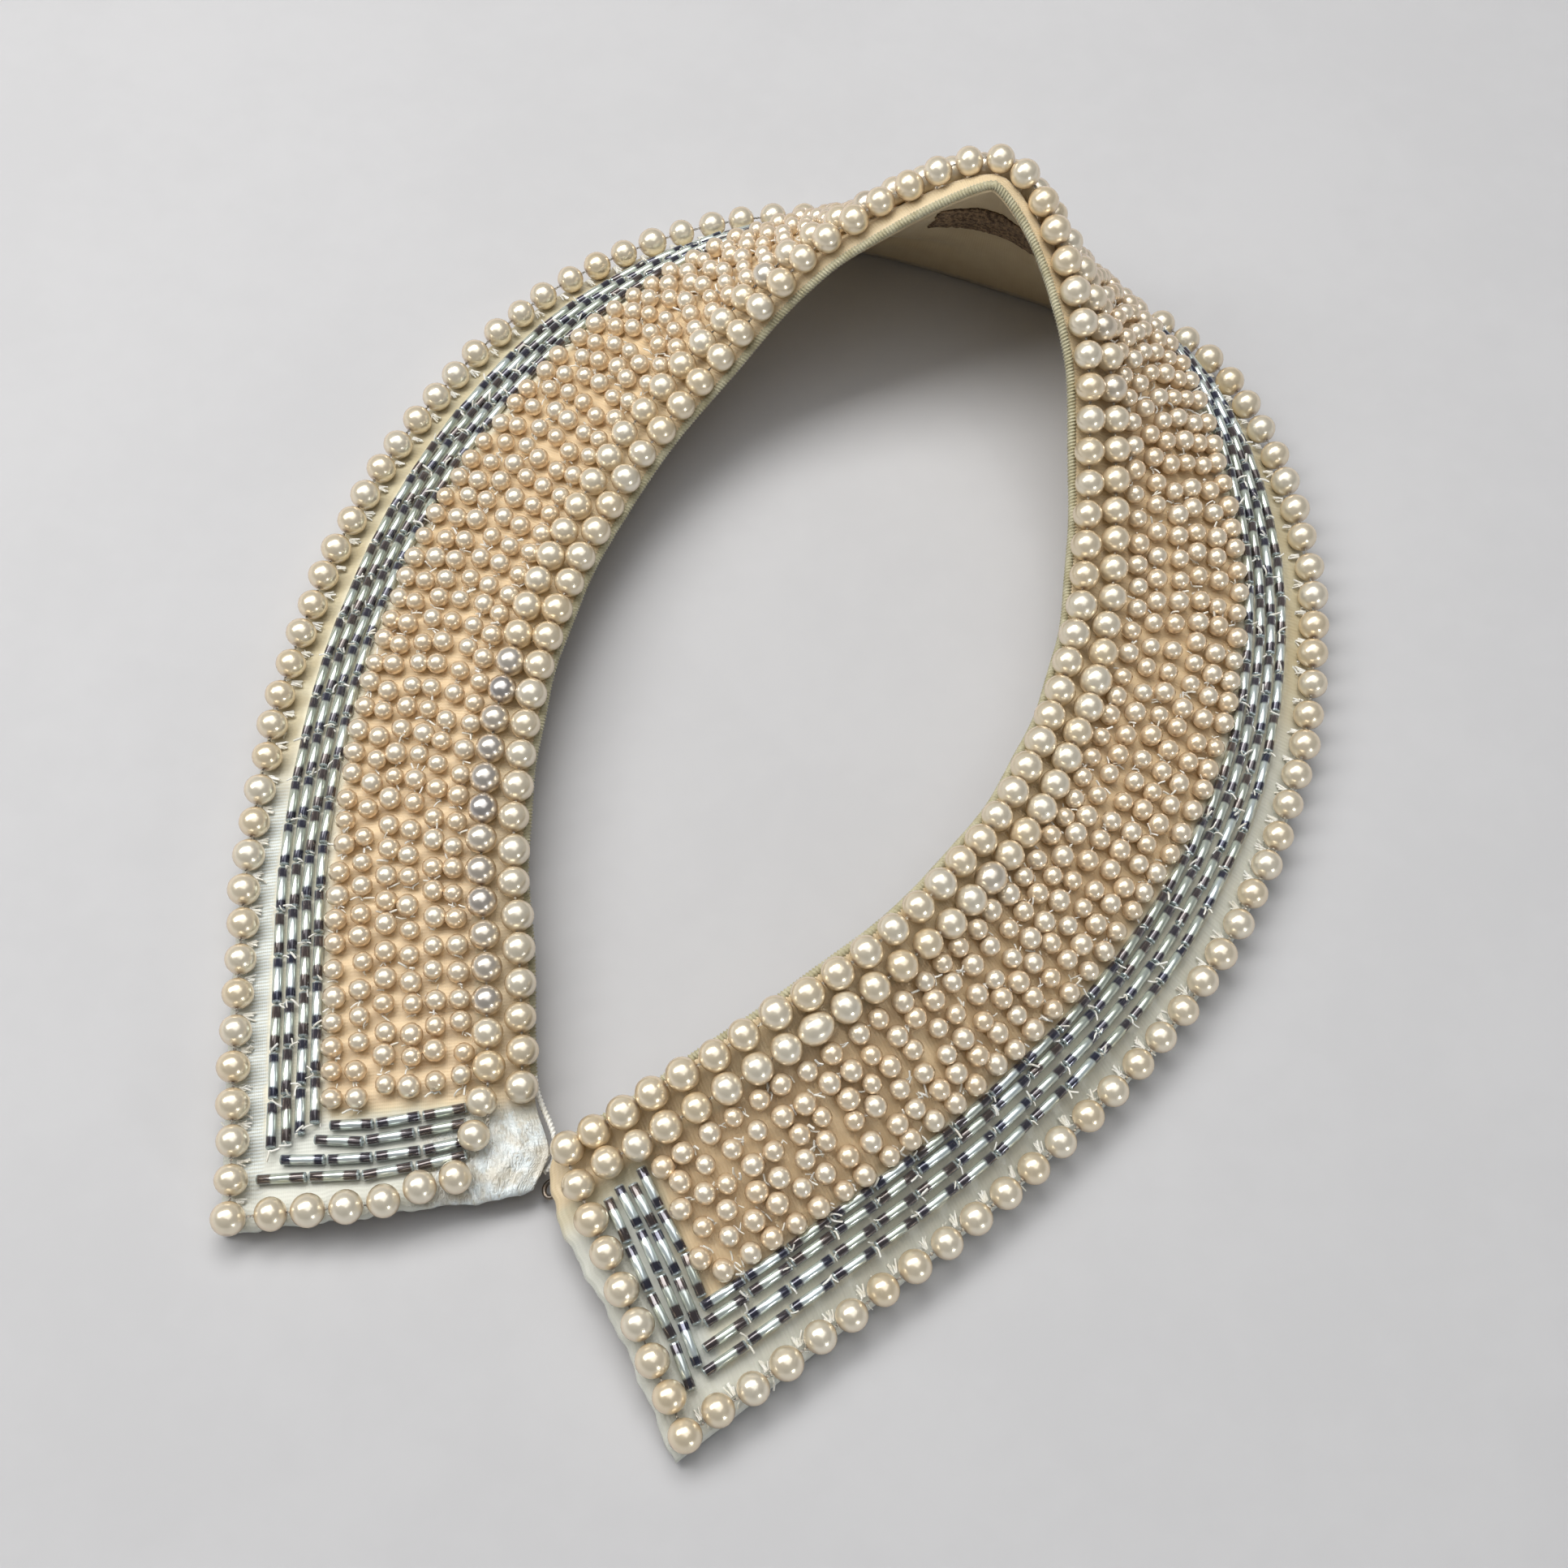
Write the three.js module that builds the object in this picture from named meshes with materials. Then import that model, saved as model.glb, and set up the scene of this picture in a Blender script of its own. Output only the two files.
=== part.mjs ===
// A pearl collar: a satin band on a lining, closed at the front of the neck and laid on a table.
// Its outer edge rests on the table all round. Its neck edge stands clear, highest at the back.
// Millimetres, +Z up, +Y towards the back of the neck, origin in the middle of the resting outline.
// Right and left are as seen from the front, with the closed front nearest.

import * as THREE from 'three';

// One row for each section, from the right front end round the back to the left front end.
// neck: centre of the neck row of pearls. edge: centre of the outer row, whose height follows.
const sections = [
  { neckX: -29.5, neckY: -66.5, neckZ: 10.0, edgeX: -10.5, edgeY: -102.5 },
  { neckX: -7.5, neckY: -54.5, neckZ: 21.5, edgeX: 11.5, edgeY: -85.0 },
  { neckX: 14.5, neckY: -37.5, neckZ: 25.0, edgeX: 35.5, edgeY: -64.0 },
  { neckX: 30.0, neckY: -15.0, neckZ: 20.5, edgeX: 59.5, edgeY: -35.5 },
  { neckX: 39.5, neckY: 11.0, neckZ: 18.0, edgeX: 76.0, edgeY: 2.0 },
  { neckX: 42.0, neckY: 38.0, neckZ: 21.5, edgeX: 78.5, edgeY: 44.0 },
  { neckX: 39.5, neckY: 63.5, neckZ: 33.0, edgeX: 64.0, edgeY: 79.0 },
  { neckX: 27.0, neckY: 84.5, neckZ: 41.5, edgeX: 30.0, edgeY: 97.5 },
  { neckX: 2.0, neckY: 76.5, neckZ: 33.5, edgeX: -8.5, edgeY: 103.5 },
  { neckX: -16.0, neckY: 60.5, neckZ: 20.0, edgeX: -43.0, edgeY: 86.5 },
  { neckX: -30.5, neckY: 38.0, neckZ: 14.0, edgeX: -66.0, edgeY: 54.0 },
  { neckX: -39.0, neckY: 11.5, neckZ: 13.0, edgeX: -77.5, edgeY: 17.0 },
  { neckX: -41.0, neckY: -17.0, neckZ: 11.5, edgeX: -80.0, edgeY: -18.5 },
  { neckX: -37.5, neckY: -44.5, neckZ: 9.0, edgeX: -77.5, edgeY: -49.5 },
  { neckX: -34.5, neckY: -72.0, neckZ: 7.0, edgeX: -74.0, edgeY: -77.0 },
];

const bandWidth = 40; // neck row to outer row, pearl centre to pearl centre
const crown = 1.0; // rise of the band's middle over a straight line across it
const seam = 0.3; // clearance where one piece lies on another
const rowThread = 0.25; // the thread under a row of large pearls
const bedThread = 0.15; // the thread under a bed of small pearls or bugles
const satinWall = 1.0;
const liningWall = 1.0;
const neckMargin = 1.0; // cloth past the centre of the neck row
const edgeMargin = 1.6; // cloth past the centre of the outer row
const restLand = 2.0; // flat strip under the outer edge, which lies on the table

const largePearl = { radius: 2.45, neckCount: 79, secondCount: 72, edgeCount: 95, endCount: 7 };
const smallPearl = { diameter: 3.2, rows: 6 };
const bugle = { diameter: 1.85, rows: 4 };

// Where each piece starts and ends across the band, from the neck row, and along it, from an end row.
const secondRow = { across: 5.3, rightGap: 5.4, leftGap: 8.6 };
const fieldSpan = { from: 8.1, to: 27.6 };
const bugleSpan = { from: 27.9, to: 35.7 };
const endBugles = {
  right: { from: 2.6, to: 9.6 }, left: { from: 4.6, to: 12.8 }, inner: 8.2, fieldGap: 0.8,
};
const bareCorner = { neckPearls: 3, endPearls: 1 }; // pearls missing at the left front corner
const leftTurnIn = { across: 19, slope: 0.2 }; // the left end row bends in towards the bare corner

// How far the cloth goes past the centre line of each end row, at distances across the band.
const endMargins = [
  { across: -1.0, right: 2.7, left: -1.2 },
  { across: 3.0, right: 5.0, left: 0.0 },
  { across: 10.0, right: 5.2, left: 0.2 },
  { across: 16.0, right: 4.2, left: 0.4 },
  { across: 24.0, right: 3.0, left: 1.0 },
  { across: 41.6, right: 2.4, left: 1.2 },
];

const clothSteps = 46; // sections along the cloth walls and the beds of beads on them
const turnAllowance = 90; // mm of length that one radian of turning counts for in spacing them

const colours = {
  satin: 0xe6dcc4,
  lining: 0xd3bf98,
  edging: 0xb9b394,
  largePearls: 0xe3cda6,
  smallPearls: 0xd9b88c,
  bugles: 0x5d6a76,
  thread: 0xd8cfb8,
  label: 0x5a4231,
  metal: 0x3a3632,
};

const material = (colour, roughness, metalness = 0) =>
  new THREE.MeshStandardMaterial({ color: colour, roughness, metalness });

const materials = {
  satin: material(colours.satin, 0.45),
  lining: material(colours.lining, 0.5),
  edging: material(colours.edging, 0.7),
  largePearls: material(colours.largePearls, 0.22, 0.1),
  smallPearls: material(colours.smallPearls, 0.28, 0.1),
  bugles: material(colours.bugles, 0.15, 0.6),
  thread: material(colours.thread, 0.8),
  label: material(colours.label, 0.9),
  metal: material(colours.metal, 0.4, 1),
};

// ---- the band as a surface --------------------------------------------------------------

const neckCurve = new THREE.CatmullRomCurve3(
  sections.map((row) => new THREE.Vector3(row.neckX, row.neckY, row.neckZ)));
const edgeCurve = new THREE.CatmullRomCurve3(
  sections.map((row) => new THREE.Vector3(row.edgeX, row.edgeY, 0)));

// Levels over and under the surface through the pearl centres. A pearl's solid has six sides.
const pearlSides = 6;
const pearlSeat = largePearl.radius * Math.cos(Math.PI / pearlSides) + seam + rowThread;
const satinTop = -pearlSeat;
const satinUnder = satinTop - satinWall;
const bedLevel = satinTop + seam + bedThread;
const liningTop = satinUnder - seam;
const liningUnder = liningTop - liningWall;

// Point, direction along the band and outward normal at t (0 to 1 along) and across (mm from the
// neck row), for an outer row whose centre is at the given height.
function surfaceAt(t, across, edgeHeight) {
  const neck = neckCurve.getPoint(t);
  const edge = edgeCurve.getPoint(t).setZ(edgeHeight);
  const ruling = edge.clone().sub(neck);
  const share = across / bandWidth;
  const along = neckCurve.getTangent(t).lerp(edgeCurve.getTangent(t), share).normalize();
  const normal = ruling.clone().cross(along).normalize();
  const point = neck.addScaledVector(ruling, share);
  point.addScaledVector(normal, 4 * crown * share * (1 - share));
  return { point, along, normal, ruling: ruling.normalize() };
}

// Height of the outer row at which the lining's corner just touches the table.
const heights = new Map();
function edgeHeightAt(t) {
  if (!heights.has(t)) {
    let height = -liningUnder;
    for (let round = 0; round < 6; round += 1) {
      const corner = surfaceAt(t, bandWidth + edgeMargin, height);
      height -= corner.point.addScaledVector(corner.normal, liningUnder).z;
    }
    heights.set(t, height);
  }
  return heights.get(t);
}

// A place on the band: t along it, across it, lifted along the normal, and beyond an end row.
function frameAt(t, across, lift = 0, beyond = 0) {
  const frame = surfaceAt(t, across, edgeHeightAt(t));
  frame.point.addScaledVector(frame.normal, lift).addScaledVector(frame.along, beyond);
  return frame;
}

const pointAt = (...place) => frameAt(...place).point;

const evenValues = (from, to, steps) =>
  Array.from({ length: steps + 1 }, (_, k) => from + (to - from) * k / steps);

// The line along the band at one distance across: its length, and t at a distance along it.
// With a turn weight, turning of the surface counts as added length (mm for each radian).
function measuredLine(across, turnWeight = 0) {
  const fine = 600;
  const lengths = [0];
  let last = frameAt(0, across);
  for (let i = 1; i <= fine; i += 1) {
    const next = frameAt(i / fine, across);
    const turned = turnWeight * next.normal.angleTo(last.normal);
    lengths.push(lengths[i - 1] + next.point.distanceTo(last.point) + turned);
    last = next;
  }
  const length = lengths[fine];
  const stopAt = (distance) => {
    const wanted = THREE.MathUtils.clamp(distance, 0, length);
    const i = lengths.findIndex((reached, n) => n > 0 && reached >= wanted);
    return (i - 1 + (wanted - lengths[i - 1]) / (lengths[i] - lengths[i - 1])) / fine;
  };
  return { length, stopAt };
}

// Values of t that divide the line at one distance across into equal lengths.
function evenStops(across, count, startGap = 0, endGap = 0) {
  const line = measuredLine(across);
  return evenValues(startGap, line.length - endGap, count - 1).map(line.stopAt);
}

// ---- closed solids ----------------------------------------------------------------------

function addMesh(group, name, points, triangles, meshMaterial) {
  const volume = triangles.reduce((sum, [a, b, c]) =>
    sum + points[a].dot(points[b].clone().cross(points[c])), 0);
  const outward = volume > 0 ? triangles : triangles.map(([a, b, c]) => [a, c, b]);
  const geometry = new THREE.BufferGeometry().setFromPoints(points);
  geometry.setIndex(outward.flat());
  geometry.computeVertexNormals();
  const mesh = new THREE.Mesh(geometry, meshMaterial);
  mesh.name = name;
  group.add(mesh);
}

// Triangles between two rows of point numbers that need not be equally long.
function zip(first, second) {
  const triangles = [];
  let i = 0;
  let j = 0;
  while (i < first.length - 1 || j < second.length - 1) {
    const nextFirst = (i + 1) / (first.length - 1);
    const nextSecond = (j + 1) / (second.length - 1);
    if (j === second.length - 1 || (i < first.length - 1 && nextFirst <= nextSecond)) {
      triangles.push([first[i], first[i + 1], second[j]]);
      i += 1;
    } else {
      triangles.push([first[i], second[j + 1], second[j]]);
      j += 1;
    }
  }
  return triangles;
}

// A wall between an upper and a lower net. Both have as many sections, each a row of points.
function addWall(group, name, upper, lower, meshMaterial) {
  const points = [];
  const numbered = (net) => net.map((section) => section.map((point) => points.push(point) - 1));
  const top = numbered(upper);
  const under = numbered(lower);
  const triangles = [];
  for (let i = 0; i < top.length - 1; i += 1) {
    triangles.push(...zip(top[i], top[i + 1]));
    triangles.push(...zip(under[i], under[i + 1]).map(([a, b, c]) => [a, c, b]));
    const near = [top[i][0], top[i + 1][0], under[i + 1][0], under[i][0]];
    const far = [under[i].at(-1), under[i + 1].at(-1), top[i + 1].at(-1), top[i].at(-1)];
    for (const [a, b, c, d] of [near, far]) {
      triangles.push([a, b, c], [a, c, d]);
    }
  }
  triangles.push(...zip(under[0], top[0]));
  triangles.push(...zip(top.at(-1), under.at(-1)));
  addMesh(group, name, points, triangles, meshMaterial);
}

// A rod of any changing radius through rings of equal point counts.
function addRings(group, name, rings, meshMaterial) {
  const sides = rings[0].length;
  const points = rings.flat();
  const triangles = [];
  for (let i = 0; i < rings.length - 1; i += 1) {
    for (let k = 0; k < sides; k += 1) {
      const a = i * sides + k;
      const b = i * sides + (k + 1) % sides;
      triangles.push([a, b, b + sides], [a, b + sides, a + sides]);
    }
  }
  const last = (rings.length - 1) * sides;
  for (let k = 1; k < sides - 1; k += 1) {
    triangles.push([0, k + 1, k], [last, last + k, last + k + 1]);
  }
  addMesh(group, name, points, triangles, meshMaterial);
}

function ringAt(centre, sideways, up, radius, sides) {
  return Array.from({ length: sides }, (_, k) => {
    const angle = 2 * Math.PI * k / sides;
    return centre.clone()
      .addScaledVector(sideways, radius * Math.cos(angle))
      .addScaledVector(up, radius * Math.sin(angle));
  });
}

// ---- the pieces -------------------------------------------------------------------------

const collar = new THREE.Group();

// Sections along the cloth: one past each end row, and even ones between.
// They are closer where the band turns up, so that flat faces stay near the curved surface.
const turnLine = measuredLine(bandWidth / 2, turnAllowance);
const innerStops = evenValues(0, turnLine.length, clothSteps).map(turnLine.stopAt);
const clothStops = [0, ...innerStops, 1];

// The same sections between two values of t, with the ends added and no sliver beside them.
function stopsBetween(from, to) {
  const sliver = 0.2; // of an even section
  const clear = sliver / clothSteps;
  return [from, ...innerStops.filter((t) => t > from + clear && t < to - clear), to];
}

const fieldMiddle = (fieldSpan.from + fieldSpan.to) / 2;

function addCloth(name, topLift, underLift, rests, meshMaterial) {
  const acrossStops = [-neckMargin, fieldSpan.from, fieldMiddle, fieldSpan.to, bandWidth + edgeMargin];
  const endSection = (t, lift, side, sign) => endMargins.map((row) =>
    pointAt(t, row.across, lift, sign * row[side]));
  const layer = (lift) => [
    endSection(0, lift, 'right', -1),
    ...innerStops.map((t) => acrossStops.map((across) => pointAt(t, across, lift))),
    endSection(1, lift, 'left', 1),
  ];
  const under = layer(underLift);
  if (rests) {
    // The turned edge lies flat on the table, as wide as the land.
    under.forEach((section, i) => {
      const corner = section.at(-1).setZ(0);
      const inward = frameAt(clothStops[i], bandWidth).ruling.setZ(0).normalize();
      section.splice(-1, 0, corner.clone().addScaledVector(inward, -restLand));
    });
  }
  addWall(collar, name, layer(topLift), under, meshMaterial);
}

addCloth('satin_top', satinTop, satinUnder, false, materials.satin);
addCloth('lining', liningTop, liningUnder, true, materials.lining);

// The ribbed edging that closes satin and lining along the neck.
const edging = { radius: 0.6, sides: 5, rightGap: 3, leftGap: 14 };
const neckLine = measuredLine(0);
const edgingStops = stopsBetween(
  neckLine.stopAt(edging.rightGap), neckLine.stopAt(neckLine.length - edging.leftGap));
addRings(collar, 'neck_edging', edgingStops.map((t) => {
  const middle = (satinTop + liningUnder) / 2;
  const frame = frameAt(t, -neckMargin - seam - edging.radius, middle);
  return ringAt(frame.point, frame.ruling, frame.normal, edging.radius, edging.sides);
}), materials.edging);

// A row of large pearls on its thread. Each is a barrel of three rings with a waist between.
function addPearlRow(name, frames, meshMaterial) {
  const { radius } = largePearl;
  const halfBarrel = 0.22;
  const tip = 0.38;
  const waist = 0.5 * radius;
  const rings = [];
  const addRing = (centre, frame, size) =>
    rings.push(ringAt(centre, frame.ruling, frame.normal, size, pearlSides));
  frames.forEach((frame, k) => {
    const before = frames[k - 1] ?? frame;
    const after = frames[k + 1] ?? frame;
    const step = after.point.clone().sub(before.point);
    step.divideScalar(after === frame || before === frame ? 1 : 2);
    const sideways = frame.normal.clone().cross(step).normalize();
    const turned = { ruling: sideways, normal: frame.normal };
    const at = (share) => frame.point.clone().addScaledVector(step, share);
    if (k === 0) {
      addRing(at(-tip), turned, waist);
    }
    addRing(at(-halfBarrel), turned, radius);
    addRing(at(halfBarrel), turned, radius);
    const halfway = after === frame ? at(tip) : frame.point.clone().lerp(after.point, 0.5);
    addRing(halfway, turned, waist);
  });
  addRings(collar, name, rings, meshMaterial);
}

const neckStops = evenStops(0, largePearl.neckCount);
addPearlRow('neck_pearls',
  neckStops.slice(0, -bareCorner.neckPearls).map((t) => frameAt(t, 0)), materials.largePearls);

const secondStops = evenStops(
  secondRow.across, largePearl.secondCount, secondRow.rightGap, secondRow.leftGap);
addPearlRow('second_pearls',
  secondStops.map((t) => frameAt(t, secondRow.across)), materials.largePearls);

const edgeStops = evenStops(bandWidth, largePearl.edgeCount);
addPearlRow('outer_pearls', edgeStops.map((t) => frameAt(t, bandWidth)), materials.largePearls);

// The end rows run between the neck row and the outer row.
for (const [side, t] of [['right', 0], ['left', 1]]) {
  const pitch = bandWidth / (largePearl.endCount + 1);
  const count = largePearl.endCount - (side === 'left' ? bareCorner.endPearls : 0);
  const places = Array.from({ length: count }, (_, k) => bandWidth - pitch * (k + 1));
  const turnedIn = (across) =>
    side === 'left' ? leftTurnIn.slope * Math.max(0, leftTurnIn.across - across) : 0;
  addPearlRow(`${side}_end_pearls`,
    places.map((across) => frameAt(t, across, 0, -turnedIn(across))), materials.largePearls);
}

// A bed of beads in rows: its upper side rises over each row and dips between rows.
const smallPearlDip = 1.2;
const bugleDip = 0.8;
function ridges(rows, height, dip) {
  return Array.from({ length: 2 * rows + 1 }, (_, k) => height - (k % 2 === 0 ? dip : 0));
}

function addBed(name, span, rows, beadHeight, dip, gaps, meshMaterial) {
  const profile = ridges(rows, satinTop + beadHeight, dip);
  const line = measuredLine((span.from + span.to) / 2);
  const stops = stopsBetween(line.stopAt(gaps.right), line.stopAt(line.length - gaps.left));
  const topStops = evenValues(span.from, span.to, 2 * rows);
  const underStops = evenValues(span.from, span.to, 2);
  const upper = stops.map((t) => topStops.map((across, k) => pointAt(t, across, profile[k])));
  const lower = stops.map((t) => underStops.map((across) => pointAt(t, across, bedLevel)));
  addWall(collar, name, upper, lower, meshMaterial);
}

const fieldGaps = {
  right: endBugles.right.to + endBugles.fieldGap, left: endBugles.left.to + endBugles.fieldGap,
};
addBed('pearl_field', fieldSpan, smallPearl.rows, smallPearl.diameter, smallPearlDip,
  fieldGaps, materials.smallPearls);
const bandGaps = { right: endBugles.right.from, left: endBugles.left.from };
addBed('bugle_band', bugleSpan, bugle.rows, bugle.diameter, bugleDip, bandGaps, materials.bugles);

// The bugles that run along each front end, in rows side by side from the end row inwards.
for (const side of ['right', 'left']) {
  const { from, to } = endBugles[side];
  const profile = ridges(bugle.rows, satinTop + bugle.diameter, bugleDip);
  const acrossStops = evenValues(endBugles.inner, bugleSpan.from - seam, 4);
  const net = (distances, lifts) => acrossStops.map((across) => {
    const line = measuredLine(across);
    return distances.map((distance, k) => {
      const t = line.stopAt(side === 'right' ? distance : line.length - distance);
      return pointAt(t, across, lifts[k]);
    });
  });
  const upper = net(evenValues(from, to, 2 * bugle.rows), profile);
  const lower = net([from, to], [bedLevel, bedLevel]);
  addWall(collar, `${side}_end_bugles`, upper, lower, materials.bugles);
}

// The thread loop on the left neck corner: it goes on from the edging and its bow stands off.
const loop = { radius: 0.4, near: 5.5, far: 12.5, bow: 1.8, steps: 10, sides: 6 };
{
  const level = (satinTop + liningUnder) / 2;
  const rootAt = -neckMargin - seam - loop.radius;
  const rings = evenValues(0, Math.PI, loop.steps).map((angle) => {
    const distance = THREE.MathUtils.lerp(loop.near, loop.far, (1 - Math.cos(angle)) / 2);
    const frame = frameAt(neckLine.stopAt(neckLine.length - distance),
      rootAt - loop.bow * Math.sin(angle), level);
    return ringAt(frame.point, frame.ruling, frame.normal, loop.radius, loop.sides);
  });
  addRings(collar, 'closing_loop', rings, materials.thread);
}

// The hook under the right neck corner: a flat metal tongue that reaches out past the end.
const hook = { across: 2.6, width: 2.4, thick: 0.7, inside: 4, outside: 7.0 };
{
  const lift = liningUnder - seam;
  const net = (level) => [hook.inside, 0, -hook.outside].map((beyond) =>
    [hook.across - hook.width / 2, hook.across + hook.width / 2].map((across) =>
      pointAt(0, across, level, beyond)));
  addWall(collar, 'closing_hook', net(lift), net(lift - hook.thick), materials.metal);
}

// A plain patch sewn on the lining at the back.
const label = { from: 0.45, to: 0.53, near: 11, far: 20, thick: 0.5, stitch: 0.15 };
{
  const lift = liningUnder - seam - label.stitch;
  const stops = innerStops.filter((t) => t > label.from && t < label.to);
  const net = (level) => stops.map((t) =>
    [label.near, label.far].map((across) => pointAt(t, across, level)));
  addWall(collar, 'lining_label', net(lift), net(lift - label.thick), materials.label);
}

export default collar;
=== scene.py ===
import math

import bpy
import numpy as np
from mathutils import Matrix, Quaternion, Vector


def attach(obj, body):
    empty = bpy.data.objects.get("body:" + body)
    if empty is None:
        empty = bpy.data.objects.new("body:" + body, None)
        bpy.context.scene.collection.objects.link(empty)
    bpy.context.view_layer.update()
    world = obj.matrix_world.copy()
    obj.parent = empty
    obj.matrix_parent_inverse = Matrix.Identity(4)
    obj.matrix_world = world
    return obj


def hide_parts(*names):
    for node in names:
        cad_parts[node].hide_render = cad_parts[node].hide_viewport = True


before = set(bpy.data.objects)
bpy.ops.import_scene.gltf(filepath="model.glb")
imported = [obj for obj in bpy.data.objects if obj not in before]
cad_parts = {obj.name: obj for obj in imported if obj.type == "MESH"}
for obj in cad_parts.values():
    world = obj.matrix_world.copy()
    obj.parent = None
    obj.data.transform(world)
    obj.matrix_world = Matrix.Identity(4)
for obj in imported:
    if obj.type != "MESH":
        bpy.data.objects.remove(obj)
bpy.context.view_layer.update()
mm = 0.001
mapUnit = 100.0  # millimetres for each unit of the cloth's UV maps
print("frame loaded:", len(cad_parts), "nodes")


# the band that every piece lies on, in millimetres

# One row for each section, from the right front end round the back to the left front end:
# the neck row's x, y, z and the outer row's x, y.
sectionRows = np.array([
    (-29.5, -66.5, 10.0, -10.5, -102.5),
    (-7.5, -54.5, 21.5, 11.5, -85.0),
    (14.5, -37.5, 25.0, 35.5, -64.0),
    (30.0, -15.0, 20.5, 59.5, -35.5),
    (39.5, 11.0, 18.0, 76.0, 2.0),
    (42.0, 38.0, 21.5, 78.5, 44.0),
    (39.5, 63.5, 33.0, 64.0, 79.0),
    (27.0, 84.5, 41.5, 30.0, 97.5),
    (2.0, 76.5, 33.5, -8.5, 103.5),
    (-16.0, 60.5, 20.0, -43.0, 86.5),
    (-30.5, 38.0, 14.0, -66.0, 54.0),
    (-39.0, 11.5, 13.0, -77.5, 17.0),
    (-41.0, -17.0, 11.5, -80.0, -18.5),
    (-37.5, -44.5, 9.0, -77.5, -49.5),
    (-34.5, -72.0, 7.0, -74.0, -77.0),
])
band = {
    "width": 40.0,        # neck row to outer row
    "crown": 1.0,
    "neckEdge": -1.0,     # where the cloth starts and ends, across from the neck row
    "outerEdge": 41.6,
    "satinTop": -2.672,   # levels under the pearls' centres
    "liningTop": -3.972,
    "liningUnder": -4.972,
}
# How far the cloth goes past each end row: across, right end, left end.
endMargins = np.array([
    (-1.0, 2.7, -1.2),
    (3.0, 5.0, 0.0),
    (10.0, 5.2, 0.2),
    (16.0, 4.2, 0.4),
    (24.0, 3.0, 1.0),
    (41.6, 2.4, 1.2),
])
neckKnots = sectionRows[:, :3]
edgeKnots = np.column_stack([sectionRows[:, 3:5], np.zeros(len(sectionRows))])


def curveThrough(knots, t):
    # centripetal Catmull-Rom: places and directions at t from 0 to 1
    position = np.clip(t, 0, 1) * (len(knots) - 1)
    i = np.minimum(position.astype(int), len(knots) - 2)
    w = (position - i)[..., None]
    longer = np.vstack([2 * knots[0] - knots[1], knots, 2 * knots[-1] - knots[-2]])
    p0, p1, p2, p3 = (longer[i + k] for k in range(4))
    d0, d1, d2 = (np.sqrt(np.linalg.norm(to - since, axis=-1))[..., None]
                  for since, to in ((p0, p1), (p1, p2), (p2, p3)))
    m1 = ((p1 - p0) / d0 - (p2 - p0) / (d0 + d1) + (p2 - p1) / d1) * d1
    m2 = ((p2 - p1) / d1 - (p3 - p1) / (d1 + d2) + (p3 - p2) / d2) * d1
    c2 = 3 * (p2 - p1) - 2 * m1 - m2
    c3 = 2 * (p1 - p2) + m1 + m2
    spot = p1 + m1 * w + c2 * w ** 2 + c3 * w ** 3
    return spot, unit(m1 + 2 * c2 * w + 3 * c3 * w ** 2)


def unit(vectors):
    return vectors / np.linalg.norm(vectors, axis=-1, keepdims=True)


def smoothStep(value):
    value = np.clip(value, 0, 1)
    return value * value * (3 - 2 * value)


def ruledBand(t, across, edgeHeight):
    neck, neckWay = curveThrough(neckKnots, t)
    edge, edgeWay = curveThrough(edgeKnots, t)
    edge = edge + edgeHeight[..., None] * np.array([0, 0, 1.0])
    ruling = edge - neck
    share = (across / band["width"])[..., None]
    along = unit(neckWay * (1 - share) + edgeWay * share)
    normal = unit(np.cross(ruling, along))
    spot = neck + ruling * share + normal * (4 * band["crown"] * share * (1 - share))
    return spot, along, normal, unit(ruling)


# The outer row's height is where the lining's corner just touches the table.
heightStops = np.linspace(0, 1, 1201)
edgeHeights = np.full(heightStops.shape, -band["liningUnder"])
for _ in range(6):
    spot, _, normal, _ = ruledBand(
        heightStops, np.full(heightStops.shape, band["outerEdge"]), edgeHeights)
    edgeHeights = edgeHeights - (spot + normal * band["liningUnder"])[..., 2]


def onBand(t, across, lift=0.0, beyond=0.0):
    # place, along, normal and ruling at t along the band and across it, lifted off it
    t, across, lift, beyond = np.broadcast_arrays(
        *(np.asarray(given, float) for given in (t, across, lift, beyond)))
    spot, along, normal, ruling = ruledBand(t, across, np.interp(t, heightStops, edgeHeights))
    spot = spot + normal * lift[..., None] + along * beyond[..., None]
    return spot, along, normal, ruling


lineStops = np.linspace(0, 1, 1501)


def lineLengths(across):
    spot = onBand(lineStops, across)[0]
    steps = np.linalg.norm(np.diff(spot, axis=0), axis=1)
    return np.concatenate([[0], np.cumsum(steps)])


def tAtEach(across, distance):
    # t at a distance from the right end, along the line at each distance across
    return np.array([np.interp(far, lineLengths(line), lineStops)
                     for line, far in zip(across, distance)])


middleLengths = lineLengths(band["width"] / 2)
bandLength = middleLengths[-1]


def creased(table, s, across):
    # Depth of the listed folds at s along and across. Each row of the table has the fold's
    # middle (s, across), its angle to the band, its length, width and depth (minus is a ridge).
    depth = np.zeros(np.broadcast(s, across).shape)
    for s0, a0, angle, length, width, deep in table:
        cosine, sine = math.cos(math.radians(angle)), math.sin(math.radians(angle))
        inLine = (s - s0) * cosine + (across - a0) * sine
        aside = (across - a0) * cosine - (s - s0) * sine
        fade = np.clip(1 - (2 * np.abs(inLine) / length) ** 2, 0, 1)
        depth = depth + deep * fade * np.exp(-(aside / width) ** 2)
    return depth


# helpers for nodes and meshes

def place(tree, kind, feeds=None, **settings):
    node = tree.nodes.new(kind)
    for key, value in settings.items():
        setattr(node, key, value)
    for key, value in (feeds or {}).items():
        if isinstance(value, bpy.types.NodeSocket):
            tree.links.new(value, node.inputs[key])
        else:
            node.inputs[key].default_value = value
    return node


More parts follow.
